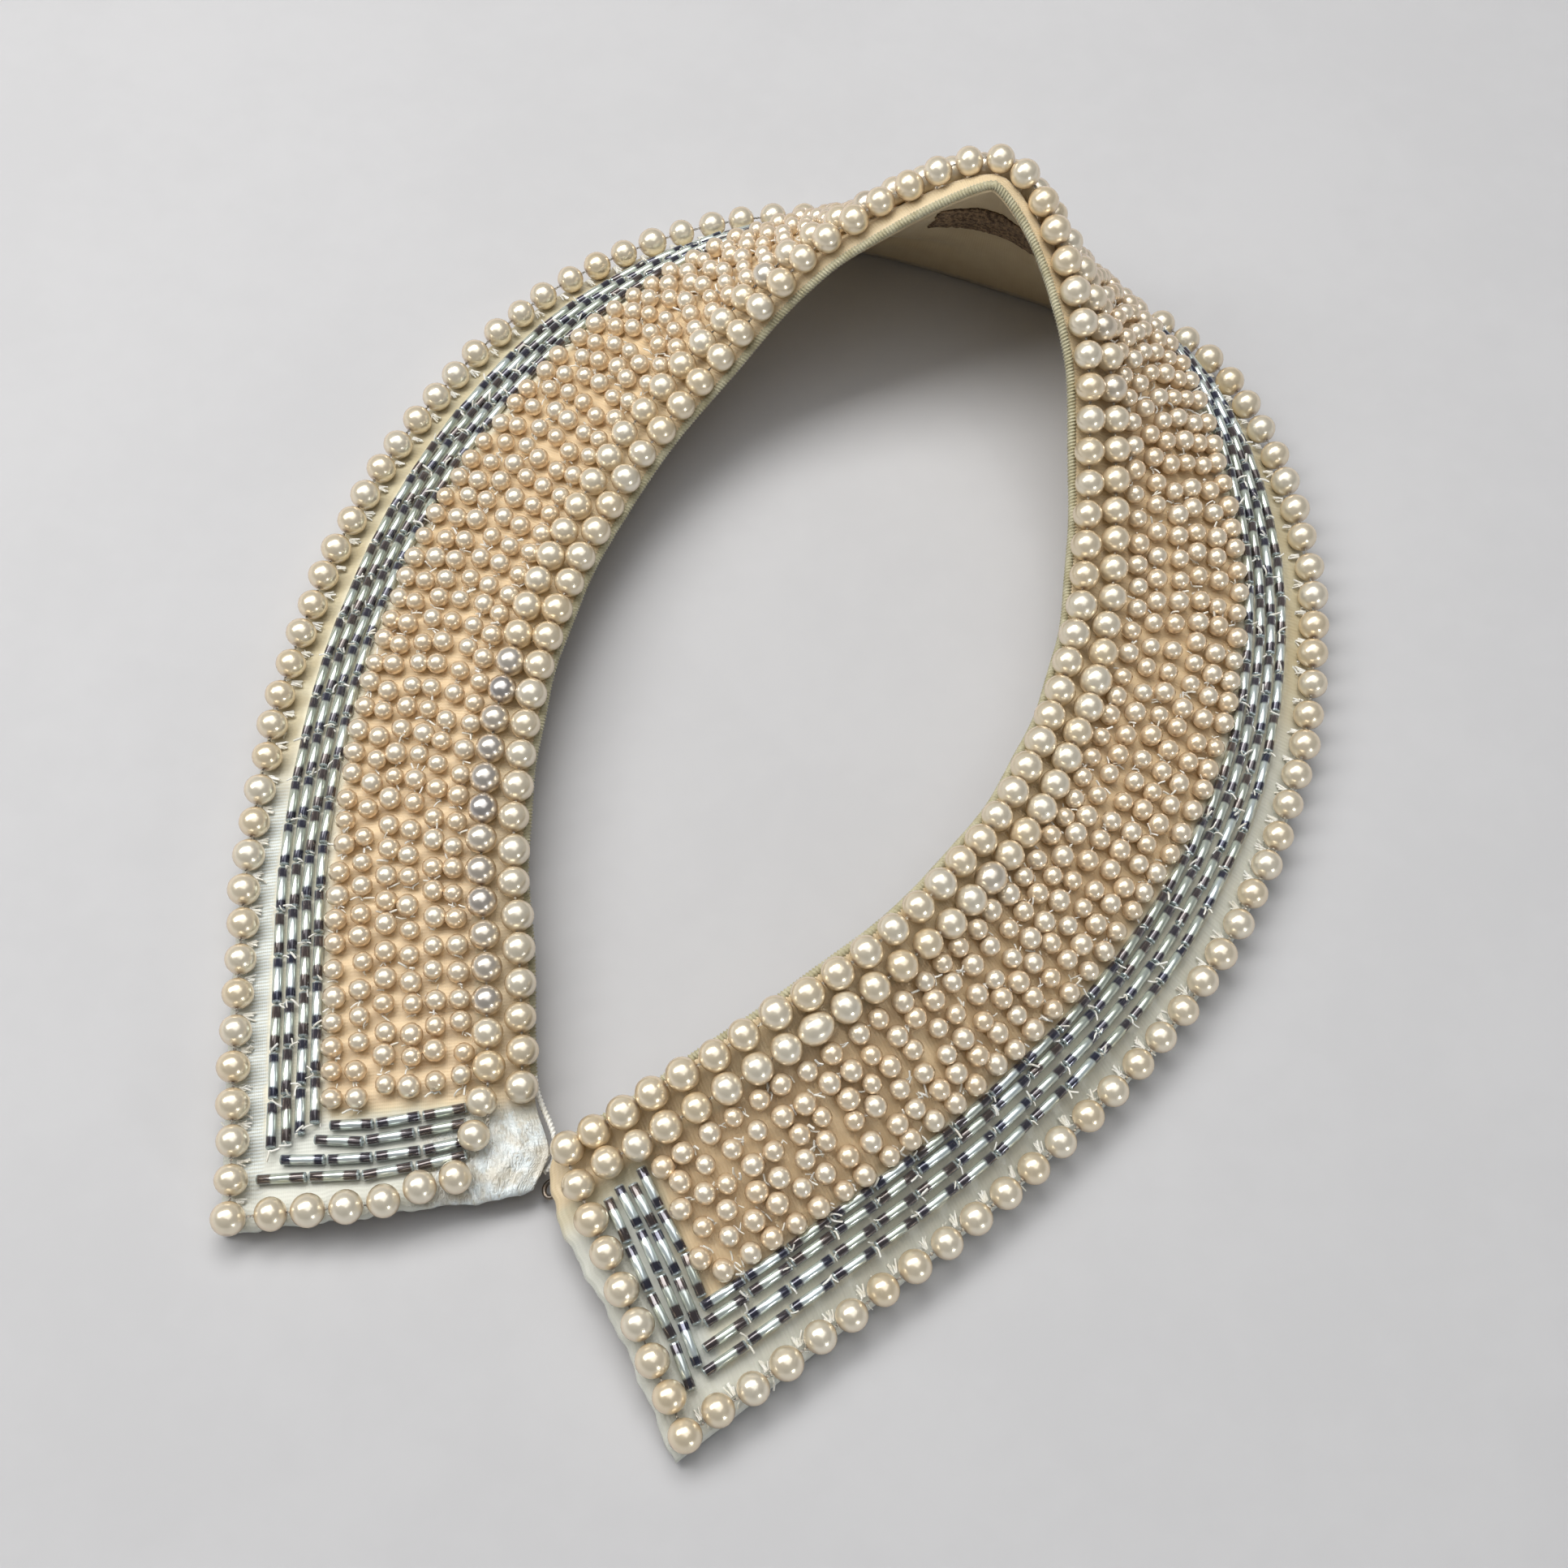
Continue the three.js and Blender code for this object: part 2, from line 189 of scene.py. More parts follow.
def mathNode(tree, operation, first, second=0.0, third=0.0, clamp=False):
    feeds = {0: first, 1: second, 2: third}
    return place(tree, "ShaderNodeMath", feeds, operation=operation, use_clamp=clamp).outputs[0]


def times(tree, first, second, clamp=False):
    return mathNode(tree, "MULTIPLY", first, second, clamp=clamp)


def timesPlus(tree, first, second, third):
    return mathNode(tree, "MULTIPLY_ADD", first, second, third)


def plus(tree, first, second):
    return mathNode(tree, "ADD", first, second)


def minus(tree, first, second, clamp=False):
    return mathNode(tree, "SUBTRACT", first, second, clamp=clamp)


def opposite(tree, value):
    return minus(tree, 1.0, value)


def mixColours(tree, share, first, second):
    return place(tree, "ShaderNodeMix", {0: share, 6: first, 7: second},
                 data_type="RGBA").outputs[2]


def noiseNode(tree, vector, scale, detail, **others):
    feeds = {"Vector": vector, "Scale": scale, "Detail": detail}
    return place(tree, "ShaderNodeTexNoise", dict(feeds, **others)).outputs[0]


def smoothRange(tree, value, low, high):
    return place(tree, "ShaderNodeMapRange", {
        "Value": value, "From Min": low, "From Max": high},
        interpolation_type="SMOOTHSTEP").outputs[0]


def openGroup(name, kind, ins, outs):
    tree = bpy.data.node_groups.new(name, kind)
    for socketName, socketType, value in ins:
        socket = tree.interface.new_socket(socketName, in_out="INPUT",
                                           socket_type="NodeSocket" + socketType)
        if value is not None:
            socket.default_value = value
    for socketName, socketType in outs:
        tree.interface.new_socket(socketName, in_out="OUTPUT",
                                  socket_type="NodeSocket" + socketType)
    return tree, tree.nodes.new("NodeGroupInput").outputs, tree.nodes.new("NodeGroupOutput")


def makeMesh(name, points, faces, material, uv=None, smooth=True):
    mesh = bpy.data.meshes.new(name)
    mesh.from_pydata((np.asarray(points) * mm).tolist(), [], faces)
    mesh.validate()
    if uv is not None:
        layer = mesh.uv_layers.new(name="lie")
        corners = np.array([loop.vertex_index for loop in mesh.loops])
        layer.data.foreach_set("uv", np.asarray(uv)[corners].astype(np.float32).ravel())
    mesh.materials.append(material)
    if smooth:
        mesh.shade_smooth()
    piece = bpy.data.objects.new(name, mesh)
    bpy.context.collection.objects.link(piece)
    return piece


def pointCloud(name, spots, edges=(), vectors=None, numbers=None):
    # a mesh of bare points, with what the node trees read from each
    mesh = bpy.data.meshes.new(name)
    mesh.from_pydata((np.asarray(spots) * mm).tolist(), list(edges), [])
    for key, values in (vectors or {}).items():
        layer = mesh.attributes.new(key, "FLOAT_VECTOR", "POINT")
        layer.data.foreach_set("vector", np.asarray(values, np.float32).ravel())
    for key, values in (numbers or {}).items():
        layer = mesh.attributes.new(key, "FLOAT", "POINT")
        layer.data.foreach_set("value", np.asarray(values, np.float32).ravel())
    piece = bpy.data.objects.new(name, mesh)
    bpy.context.collection.objects.link(piece)
    return piece


def runTree(source, tree, values, name):
    # puts the node tree on the source, turns the result into a plain mesh, drops the source
    modifier = source.modifiers.new(tree.name, "NODES")
    modifier.node_group = tree
    for key, value in values.items():
        modifier[tree.interface.items_tree[key].identifier] = value
    graph = bpy.context.evaluated_depsgraph_get()
    graph.update()
    mesh = bpy.data.meshes.new_from_object(source.evaluated_get(graph))
    mesh.name = name
    bpy.data.objects.remove(source)
    piece = bpy.data.objects.new(name, mesh)
    bpy.context.collection.objects.link(piece)
    print("  made", name, len(mesh.polygons), "faces")
    return piece


def settle(piece, slot, *nodes):
    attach(piece, "root")
    if nodes:
        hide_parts(*nodes)
    return piece


# shader groups

def buildWeave():
    # ribs across the cloth with a finer cross thread, from its UV map and pitches in millimetres
    tree, given, out = openGroup("clothRibs", "ShaderNodeTree", [
        ("Lie", "Vector", None),
        ("Rib Pitch", "Float", 0.5),
        ("Cross Pitch", "Float", 0.3),
        ("Waver", "Float", 0.3),
    ], [("Height", "Float"), ("Streak", "Float")])
    parts = place(tree, "ShaderNodeSeparateXYZ", {0: given["Lie"]}).outputs
    waver = times(tree, noiseNode(tree, given["Lie"], 22.0, 3.0), given["Waver"])
    ribs = []
    for part, pitch in ((parts[0], given["Rib Pitch"]), (parts[1], given["Cross Pitch"])):
        turns = mathNode(tree, "DIVIDE", times(tree, part, mapUnit), pitch)
        angle = times(tree, plus(tree, turns, waver), 2 * math.pi)
        ribs.append(mathNode(tree, "SINE", angle))
    height = timesPlus(tree, ribs[1], 0.35, ribs[0])
    height = timesPlus(tree, height, 0.35, 0.5)
    stretch = place(tree, "ShaderNodeMapping", {"Vector": given["Lie"], "Scale": (260.0, 9.0, 1.0)})
    tree.links.new(height, out.inputs["Height"])
    tree.links.new(noiseNode(tree, stretch.outputs[0], 1.0, 2.0), out.inputs["Streak"])
    return tree


def buildMottle():
    # soft blotches between two colours, with finer specks over them
    tree, given, out = openGroup("softMottle", "ShaderNodeTree", [
        ("Place", "Vector", None),
        ("Colour", "Color", (0.8, 0.8, 0.8, 1)),
        ("Patches", "Color", (0.6, 0.6, 0.6, 1)),
        ("Scale", "Float", 60.0),
        ("Amount", "Float", 0.5),
    ], [("Colour", "Color"), ("Mask", "Float")])
    broad = noiseNode(tree, given["Place"], given["Scale"], 4.0, Roughness=0.6)
    fine = noiseNode(tree, given["Place"], times(tree, given["Scale"], 7.0), 2.0)
    both = timesPlus(tree, fine, 0.35, broad)
    mask = times(tree, smoothRange(tree, both, 0.5, 0.85), given["Amount"], clamp=True)
    tree.links.new(mixColours(tree, mask, given["Colour"], given["Patches"]), out.inputs["Colour"])
    tree.links.new(mask, out.inputs["Mask"])
    return tree


def buildNacre():
    # a pearl's colour from its own tone, its silver share and slow clouds
    tree, given, out = openGroup("nacreColour", "ShaderNodeTree", [
        ("Place", "Vector", None),
        ("Tone", "Float", 0.5),
        ("Silver", "Float", 0.0),
        ("Pale", "Color", (0.8, 0.72, 0.6, 1)),
        ("Warm", "Color", (0.7, 0.55, 0.38, 1)),
        ("Grey", "Color", (0.5, 0.5, 0.5, 1)),
    ], [("Colour", "Color"), ("Height", "Float")])
    cloud = noiseNode(tree, given["Place"], 260.0, 2.0)
    share = timesPlus(tree, cloud, 0.6, given["Tone"])
    share = minus(tree, share, 0.3, clamp=True)
    warm = mixColours(tree, share, given["Pale"], given["Warm"])
    grey = mixColours(tree, given["Silver"], warm, given["Grey"])
    tree.links.new(grey, out.inputs["Colour"])
    tree.links.new(noiseNode(tree, given["Place"], 1500.0, 1.0), out.inputs["Height"])
    return tree


clothRibs = buildWeave()
softMottle = buildMottle()
nacreColour = buildNacre()


def newMaterial(name, **plain):
    # a Principled material whose even values sit on the shader's own sockets
    material = bpy.data.materials.new(name)
    material.use_nodes = True
    tree = material.node_tree
    shader = tree.nodes["Principled BSDF"]
    for key, value in plain.items():
        shader.inputs[key.replace("_", " ")].default_value = value
    return material, tree, shader


def groupNode(tree, group, feeds):
    return place(tree, "ShaderNodeGroup", feeds, node_tree=group)


def bumpInto(tree, shader, height, distance, strength=1.0):
    bump = place(tree, "ShaderNodeBump", {
        "Height": height, "Distance": distance, "Strength": strength})
    tree.links.new(bump.outputs[0], shader.inputs["Normal"])


def objectPlace(tree):
    return place(tree, "ShaderNodeTexCoord").outputs["Object"]


def numberOf(tree, name):
    return place(tree, "ShaderNodeAttribute", attribute_name=name).outputs["Fac"]


# pearls

# each look's rim colour is painted shade and bounced light, which the pearl takes on towards its
# outline as seen
pearlLooks = {
    "large": {"pale": (0.84, 0.77, 0.62, 1), "warm": (0.83, 0.70, 0.49, 1),
              "grey": (0.62, 0.58, 0.55, 1), "rim": (0.70, 0.47, 0.22, 1),
              "hole": (0.22, 0.10, 0.05, 1)},
    "small": {"pale": (0.86, 0.77, 0.61, 1), "warm": (0.84, 0.68, 0.47, 1),
              "grey": (0.60, 0.56, 0.50, 1), "rim": (0.72, 0.46, 0.23, 1),
              "hole": (0.22, 0.10, 0.05, 1)},
}


def pearlMaterial(name, looks):
    material, tree, shader = newMaterial(
        name, Roughness=0.29, Coat_Weight=1.0, Coat_Roughness=0.1, Coat_IOR=1.85)
    silver, tone = numberOf(tree, "silver"), numberOf(tree, "tone")
    nacre = groupNode(tree, nacreColour, {
        "Place": objectPlace(tree), "Tone": tone, "Silver": silver, "Pale": looks["pale"],
        "Warm": looks["warm"], "Grey": looks["grey"]})
    # painted shade and bounced light: towards the outline as seen, the colour turns to the warm,
    # darker rim colour
    facing = place(tree, "ShaderNodeLayerWeight", {"Blend": 0.4}).outputs["Facing"]
    rim = times(tree, smoothRange(tree, facing, 0.22, 0.88), 0.9)
    colour = mixColours(tree, rim, nacre.outputs["Colour"], looks["rim"])
    # the drilled holes are stained a little, some pearls' more than others'
    pole = mathNode(tree, "ABSOLUTE", numberOf(tree, "lengthwise"))
    stain = times(tree, smoothRange(tree, pole, 0.93, 0.995), timesPlus(tree, tone, 0.5, 0.35))
    colour = mixColours(tree, stain, colour, looks["hole"])
    tree.links.new(colour, shader.inputs["Base Color"])
    tree.links.new(timesPlus(tree, silver, 0.35, 0.5), shader.inputs["Metallic"])
    bumpInto(tree, shader, nacre.outputs["Height"], 0.00003, 0.5)
    return material


largePearlSkin = pearlMaterial("largePearlSkin", pearlLooks["large"])
smallPearlSkin = pearlMaterial("smallPearlSkin", pearlLooks["small"])


def randomNumber(tree, low, high, seed, shift):
    node = place(tree, "FunctionNodeRandomValue", {2: low, 3: high}, data_type="FLOAT")
    tree.links.new(plus(tree, seed, float(shift)), node.inputs["Seed"])
    return node.outputs[1]


def namedValue(tree, name, kind):
    return place(tree, "GeometryNodeInputNamedAttribute", {"Name": name},
                 data_type=kind).outputs["Attribute"]


def placeParts(tree):
    position = place(tree, "GeometryNodeInputPosition").outputs[0]
    return place(tree, "ShaderNodeSeparateXYZ", {0: position}).outputs


def facingRotation(tree):
    # Z along the thread, X up off the cloth
    return place(tree, "FunctionNodeAxesToRotation", {
        0: namedValue(tree, "thread", "FLOAT_VECTOR"),
        1: namedValue(tree, "faceUp", "FLOAT_VECTOR")},
        primary_axis="Z", secondary_axis="X").outputs[0]


def finishTree(tree, out, instances, tone, material):
    stored = place(tree, "GeometryNodeStoreNamedAttribute", {
        "Geometry": instances, "Name": "tone", "Value": tone},
        data_type="FLOAT", domain="INSTANCE")
    solid = place(tree, "GeometryNodeRealizeInstances", {0: stored.outputs[0]})
    smooth = place(tree, "GeometryNodeSetShadeSmooth", {0: solid.outputs[0]})
    painted = place(tree, "GeometryNodeSetMaterial", {0: smooth.outputs[0], "Material": material})
    tree.links.new(painted.outputs[0], out.inputs[0])


def buildPearlTree():
    tree, given, out = openGroup("pearlString", "GeometryNodeTree", [
        ("Points", "Geometry", None),
        ("Radius", "Float", 0.00245),
        ("Spread", "Float", 0.02),
        ("Oval", "Float", 0.04),
        ("Segments", "Int", 20),
        ("Rings", "Int", 12),
        ("Seed", "Int", 1),
        ("Material", "Material", None),
    ], [("Pearls", "Geometry")])
    ball = place(tree, "GeometryNodeMeshUVSphere", {
        "Segments": given["Segments"], "Rings": given["Rings"], "Radius": given["Radius"]})
    parts = placeParts(tree)
    lengthwise = mathNode(tree, "DIVIDE", parts[2], given["Radius"])
    marked = place(tree, "GeometryNodeStoreNamedAttribute", {
        "Geometry": ball.outputs[0], "Name": "lengthwise", "Value": lengthwise},
        data_type="FLOAT", domain="POINT")
    least = opposite(tree, given["Spread"])
    most = plus(tree, 1.0, given["Spread"])
    size = times(tree, randomNumber(tree, least, most, given["Seed"], 0),
                 namedValue(tree, "swell", "FLOAT"))
    ovalLow = opposite(tree, given["Oval"])
    tall = times(tree, namedValue(tree, "longer", "FLOAT"),
                 randomNumber(tree, ovalLow, 1.0, given["Seed"], 1))
    scale = place(tree, "ShaderNodeCombineXYZ", {
        0: size, 1: size, 2: times(tree, size, tall)})
    pearls = place(tree, "GeometryNodeInstanceOnPoints", {
        "Points": given["Points"], "Instance": marked.outputs[0],
        "Rotation": facingRotation(tree), "Scale": scale.outputs[0]})
    tone = randomNumber(tree, 0.0, 1.0, given["Seed"], 2)
    finishTree(tree, out, pearls.outputs[0], tone, given["Material"])
    return tree


pearlString = buildPearlTree()


def pearlPiece(name, t, across, lift, values, beyond=0.0, thread=None, **numbers):
    spot, _, normal, _ = onBand(t, across, lift, beyond)
    thread = unit(np.gradient(spot, axis=0)) if thread is None else thread
    plain = {"silver": 0.0, "swell": 1.0, "longer": 1.0}
    numbers = {key: numbers.get(key, np.full(len(spot), value)) for key, value in plain.items()}
    cloud = pointCloud(name + "Points", spot, vectors={"thread": thread, "faceUp": normal},
                       numbers=numbers)
    return runTree(cloud, pearlString, values, name)


largePearls = {
    "radius": 2.36, "sink": -0.36,
    "neckCount": 79, "neckMissing": 3, "neckStart": 0.6,
    "neckStray": (0.12, 0.18, 0.08),  # along, across, up
    "secondAcross": 4.7, "secondPitch": 4.88, "secondRight": 5.0, "secondLeft": 8.4,
    "secondStray": (0.12, 0.22), "secondSize": 0.97,
    "secondSized": {3: 0.9, 11: 0.92, 22: 1.04},  # odd ones: index to size
    "secondLonger": {7: 1.22, 14: 1.1},
    "cornerBend": 1.9, "cornerRun": 9.5,  # the second row bends away from the bare corner
    "outerCount": 95, "outerStray": (0.15, 0.2), "endStray": 0.1,
    "rightEnd": (5.2, 10.1, 14.9, 20.0, 24.9, 29.8, 34.8),  # across
    # across, distance inside the end row
    "leftEnd": ((34.3, 0.0), (29.2, 0.0), (24.0, 0.0), (18.9, 0.4), (14.0, 1.9), (9.2, 2.9)),
    "grey": (0.785, 0.935),  # where along the second row the silver-grey ones are
    "howGrey": (0.35, 1.0),
    "strayGrey": (0.12, 0.35),  # share of slightly grey ones before that, and how grey
    "seed": 7,
}
dice = np.random.default_rng(largePearls["seed"])
largeValues = {"Radius": largePearls["radius"] * mm, "Spread": 0.035, "Oval": 0.06,
               "Segments": 20, "Rings": 12, "Material": largePearlSkin}


def wobble(count, amount):
    # draws from the dice of the piece at hand
    return dice.uniform(-amount, amount, count)


def oddOnes(count, odd, usual=1.0):
    sizes = np.full(count, usual)
    for index, size in odd.items():
        sizes[index] = size
    return sizes


def largeRow(name, node, t, across, lift, seed, **others):
    piece = pearlPiece(name, t, across, lift, dict(largeValues, Seed=seed), **others)
    settle(piece, "large_pearl", node)


lengths = lineLengths(0.0)
distance = np.linspace(0, lengths[-1], largePearls["neckCount"])[:-largePearls["neckMissing"]]
strayAlong, strayAcross, strayUp = largePearls["neckStray"]
distance = distance + wobble(len(distance), strayAlong)
distance[0] = largePearls["neckStart"]
across = wobble(len(distance), strayAcross)
largeRow("neck_row_pearls", "neck_pearls", np.interp(distance, lengths, lineStops), across,
         largePearls["sink"] + wobble(len(distance), strayUp), 3)

lengths = lineLengths(largePearls["secondAcross"])
start, stop = largePearls["secondRight"], lengths[-1] - largePearls["secondLeft"]
distance = np.linspace(start, stop, 1 + round((stop - start) / largePearls["secondPitch"]))
strayAlong, strayAcross = largePearls["secondStray"]
t = np.interp(distance + wobble(len(distance), strayAlong), lengths, lineStops)
nearCorner = np.clip(1 - (stop - distance) / largePearls["cornerRun"], 0, 1)
across = largePearls["secondAcross"] + largePearls["cornerBend"] * nearCorner
low, high = largePearls["grey"]
strayShare, strayGrey = largePearls["strayGrey"]
silver = np.where((t > low) & (t < high), dice.uniform(*largePearls["howGrey"], len(t)), 0.0)
silver = np.where((t <= low) & (dice.random(len(t)) < strayShare), strayGrey, silver)
largeRow("second_row_pearls", "second_pearls", t, across + wobble(len(t), strayAcross),
         largePearls["sink"], 11, silver=silver,
         longer=oddOnes(len(t), largePearls["secondLonger"]),
         swell=oddOnes(len(t), largePearls["secondSized"], largePearls["secondSize"]))

lengths = lineLengths(band["width"])
distance = np.linspace(0, lengths[-1], largePearls["outerCount"])
strayAlong, strayAcross = largePearls["outerStray"]
t = np.interp(distance + wobble(len(distance), strayAlong), lengths, lineStops)
largeRow("outer_row_pearls", "outer_pearls", t, band["width"] + wobble(len(t), strayAcross),
         largePearls["sink"], 19)

across = np.array(largePearls["rightEnd"])
largeRow("right_end_row", "right_end_pearls", np.zeros(len(across)), across,
         largePearls["sink"], 23, beyond=wobble(len(across), largePearls["endStray"]))
across, inward = np.array(largePearls["leftEnd"]).T
largeRow("left_end_row", "left_end_pearls", np.ones(len(across)), across,
         largePearls["sink"], 29, beyond=-inward)
print("large pearls strung")


# the rows lie closer together up to this far from the right end, less so over the last part
rightFront = {"until": 140.0, "fade": 65.0}


def frontShare(distance):
    return smoothStep((rightFront["until"] - distance) / rightFront["fade"])


smallPearls = {
    "radius": 1.62,
    "pitch": 3.93,
    "closer": 0.065,  # share by which the rows draw together along the right front
    # across, gap at the right end, gap at the left end
    "rows": ((8.6, 11.4, 16.3), (12.1, 13.3, 17.3), (15.6, 11.4, 16.7),
             (19.1, 13.4, 16.3), (22.6, 11.5, 15.9), (26.0, 13.5, 15.0)),
    # slow waves: reach, length, shift from row to row
    "drift": (0.8, 37.0, 2.1),
    "wander": (0.28, 17.0, 0.0),
    "waver": (0.16, 6.3, 1.7),
    "strayAlong": 0.42, "strayAcross": 0.26, "strayUp": 0.07,
    "seed": 31,
}


def slowWave(wave, distance, row):
    reach, length, shift = wave
    return reach * np.sin(distance / length + shift * row)


dice = np.random.default_rng(smallPearls["seed"])
spotT, spotAcross = [], []
for row, (across, rightGap, leftGap) in enumerate(smallPearls["rows"]):
    lengths = lineLengths(across)
    start, stop = rightGap, lengths[-1] - leftGap
    distance = np.linspace(start, stop, 1 + round((stop - start) / smallPearls["pitch"]))
    drift = slowWave(smallPearls["drift"], distance, row) * np.clip((distance - start) / 20, 0, 1)
    distance = distance + drift + wobble(len(distance), smallPearls["strayAlong"])
    wander = (slowWave(smallPearls["wander"], distance, row)
              + slowWave(smallPearls["waver"], distance, row))
    spotT.append(np.interp(distance, lengths, lineStops))
    drawn = smallPearls["closer"] * frontShare(distance) * (across - smallPearls["rows"][0][0])
    spotAcross.append(across - drawn + wander + wobble(len(distance), smallPearls["strayAcross"]))
fieldT, fieldAcross = np.concatenate(spotT), np.concatenate(spotAcross)
fieldLift = (band["satinTop"] + smallPearls["radius"]
             + wobble(len(fieldT), smallPearls["strayUp"]))
settle(pearlPiece("field_small_pearls", fieldT, fieldAcross, fieldLift, {
    "Radius": smallPearls["radius"] * mm, "Spread": 0.08, "Oval": 0.1, "Segments": 12,
    "Rings": 7, "Seed": 37, "Material": smallPearlSkin},
    thread=onBand(fieldT, fieldAcross)[1]), "small_pearl", "pearl_field")
print("small pearls laid:", len(fieldT))


# bugles

bugles = {
    "radius": 0.73, "length": 6.75, "pitch": 7.1, "bevel": 0.12, "hole": 0.45,
    "raised": 0.14,  # off the satin
    "endGap": 0.35,  # between beads along the ends
    "strayAlong": 0.08, "strayAcross": 0.07, "strayUp": 0.04, "strayTurn": 0.02,
    "lengths": (0.97, 1.01),
    # across, gap at the right end, gap at the left end, shift along the right front
    "rows": ((28.8, 8.4, 12.4, -1.15), (30.75, 8.0, 11.0, -1.1), (32.75, 6.6, 9.8, -0.5),
             (34.75, 5.3, 9.3, 0.1)),
    # count of beads, then knots of across and distance from the end row
    "right": ((4, ((8.4, 2.8), (15.6, 2.9), (22.0, 3.1), (27.8, 3.4), (35.9, 3.2))),
              (4, ((7.8, 4.8), (13.5, 5.1), (21.6, 5.3), (28.1, 5.4), (33.9, 5.2))),
              (3, ((8.6, 6.7), (13.8, 7.0), (21.0, 7.3), (29.2, 7.2))),
              (3, ((7.3, 8.6), (14.2, 8.9), (20.7, 9.4), (26.6, 9.3)))),
    "left": ((4, ((36.9, 5.4), (29.9, 5.1), (21.6, 4.6), (14.8, 5.2), (7.6, 6.3))),
             (4, ((33.6, 7.9), (26.6, 7.2), (20.6, 7.0), (13.7, 7.4), (7.4, 8.2))),
             (3, ((28.9, 10.2), (22.5, 9.4), (14.8, 9.9), (7.6, 10.8))),
             (3, ((26.8, 12.1), (21.0, 11.7), (14.4, 12.2), (7.6, 12.9)))),
    "seed": 41,
}


# clear glass over a silver lining, with light and shade painted into its colour: a painted
# highlight along the middle where the tube faces the eye, painted shade on the duller sides, thin
# blue outlines of painted reflection, a painted dark reflection near either end, a painted glint at
# the tip
bugleTones = {
    "lining": ((0.84, 0.94, 0.95, 1), (0.61, 0.67, 0.58, 1)),
    "paintedSideShade": (0.50, 0.54, 0.45, 1),
    "outline": (0.33, 0.48, 0.58, 1),
    "patch": ((0.045, 0.05, 0.085, 1), (0.115, 0.09, 0.08, 1)),
    "tip": (0.42, 0.50, 0.53, 1),
}


def bugleMaterial():
    material, tree, shader = newMaterial(
        "bugleGlass", Roughness=0.22, Coat_Weight=1.0, Coat_Roughness=0.05, Coat_IOR=1.6)
    along, tone = mathNode(tree, "ABSOLUTE", numberOf(tree, "lengthwise")), numberOf(tree, "tone")
    where = objectPlace(tree)
    broad = noiseNode(tree, where, 32.0, 1.0)
    clear = smoothRange(tree, timesPlus(tree, tone, 0.25, broad), 0.5, 0.75)
    waver = timesPlus(tree, noiseNode(tree, where, 420.0, 2.0), 0.3, -0.15)
    edge = plus(tree, along, timesPlus(tree, tone, 0.16, waver))
    # painted dark reflection: a dark patch near either end, with a wavering inner border, stopping
    # short of the tip
    dark = minus(tree, smoothRange(tree, edge, 0.47, 0.62),
                 smoothRange(tree, along, 0.89, 0.97), clamp=True)
    lining = mixColours(tree, clear, *bugleTones["lining"])
    patch = mixColours(tree, tone, *bugleTones["patch"])
    # painted highlight and shade: the lining's bright colour only where the tube faces the eye, the
    # dull colour on its sides
    facing = place(tree, "ShaderNodeLayerWeight", {"Blend": 0.45}).outputs["Facing"]
    paintedSideShade = times(tree, smoothRange(tree, facing, 0.14, 0.36), 0.8)
    body = mixColours(tree, paintedSideShade, lining, bugleTones["paintedSideShade"])
    # painted glint: the pale tip
    tip = times(tree, smoothRange(tree, along, 0.89, 0.97), 0.75)
    body = mixColours(tree, tip, body, bugleTones["tip"])
    body = mixColours(tree, dark, body, patch)
    # painted reflection: thin blue outlines along the tube's sides as seen
    side = times(tree, smoothRange(tree, facing, 0.55, 0.88), 0.8)
    colour = mixColours(tree, side, body, bugleTones["outline"])
    tree.links.new(colour, shader.inputs["Base Color"])
    tree.links.new(timesPlus(tree, paintedSideShade, -0.45, 0.7), shader.inputs["Metallic"])
    return material


bugleGlass = bugleMaterial()


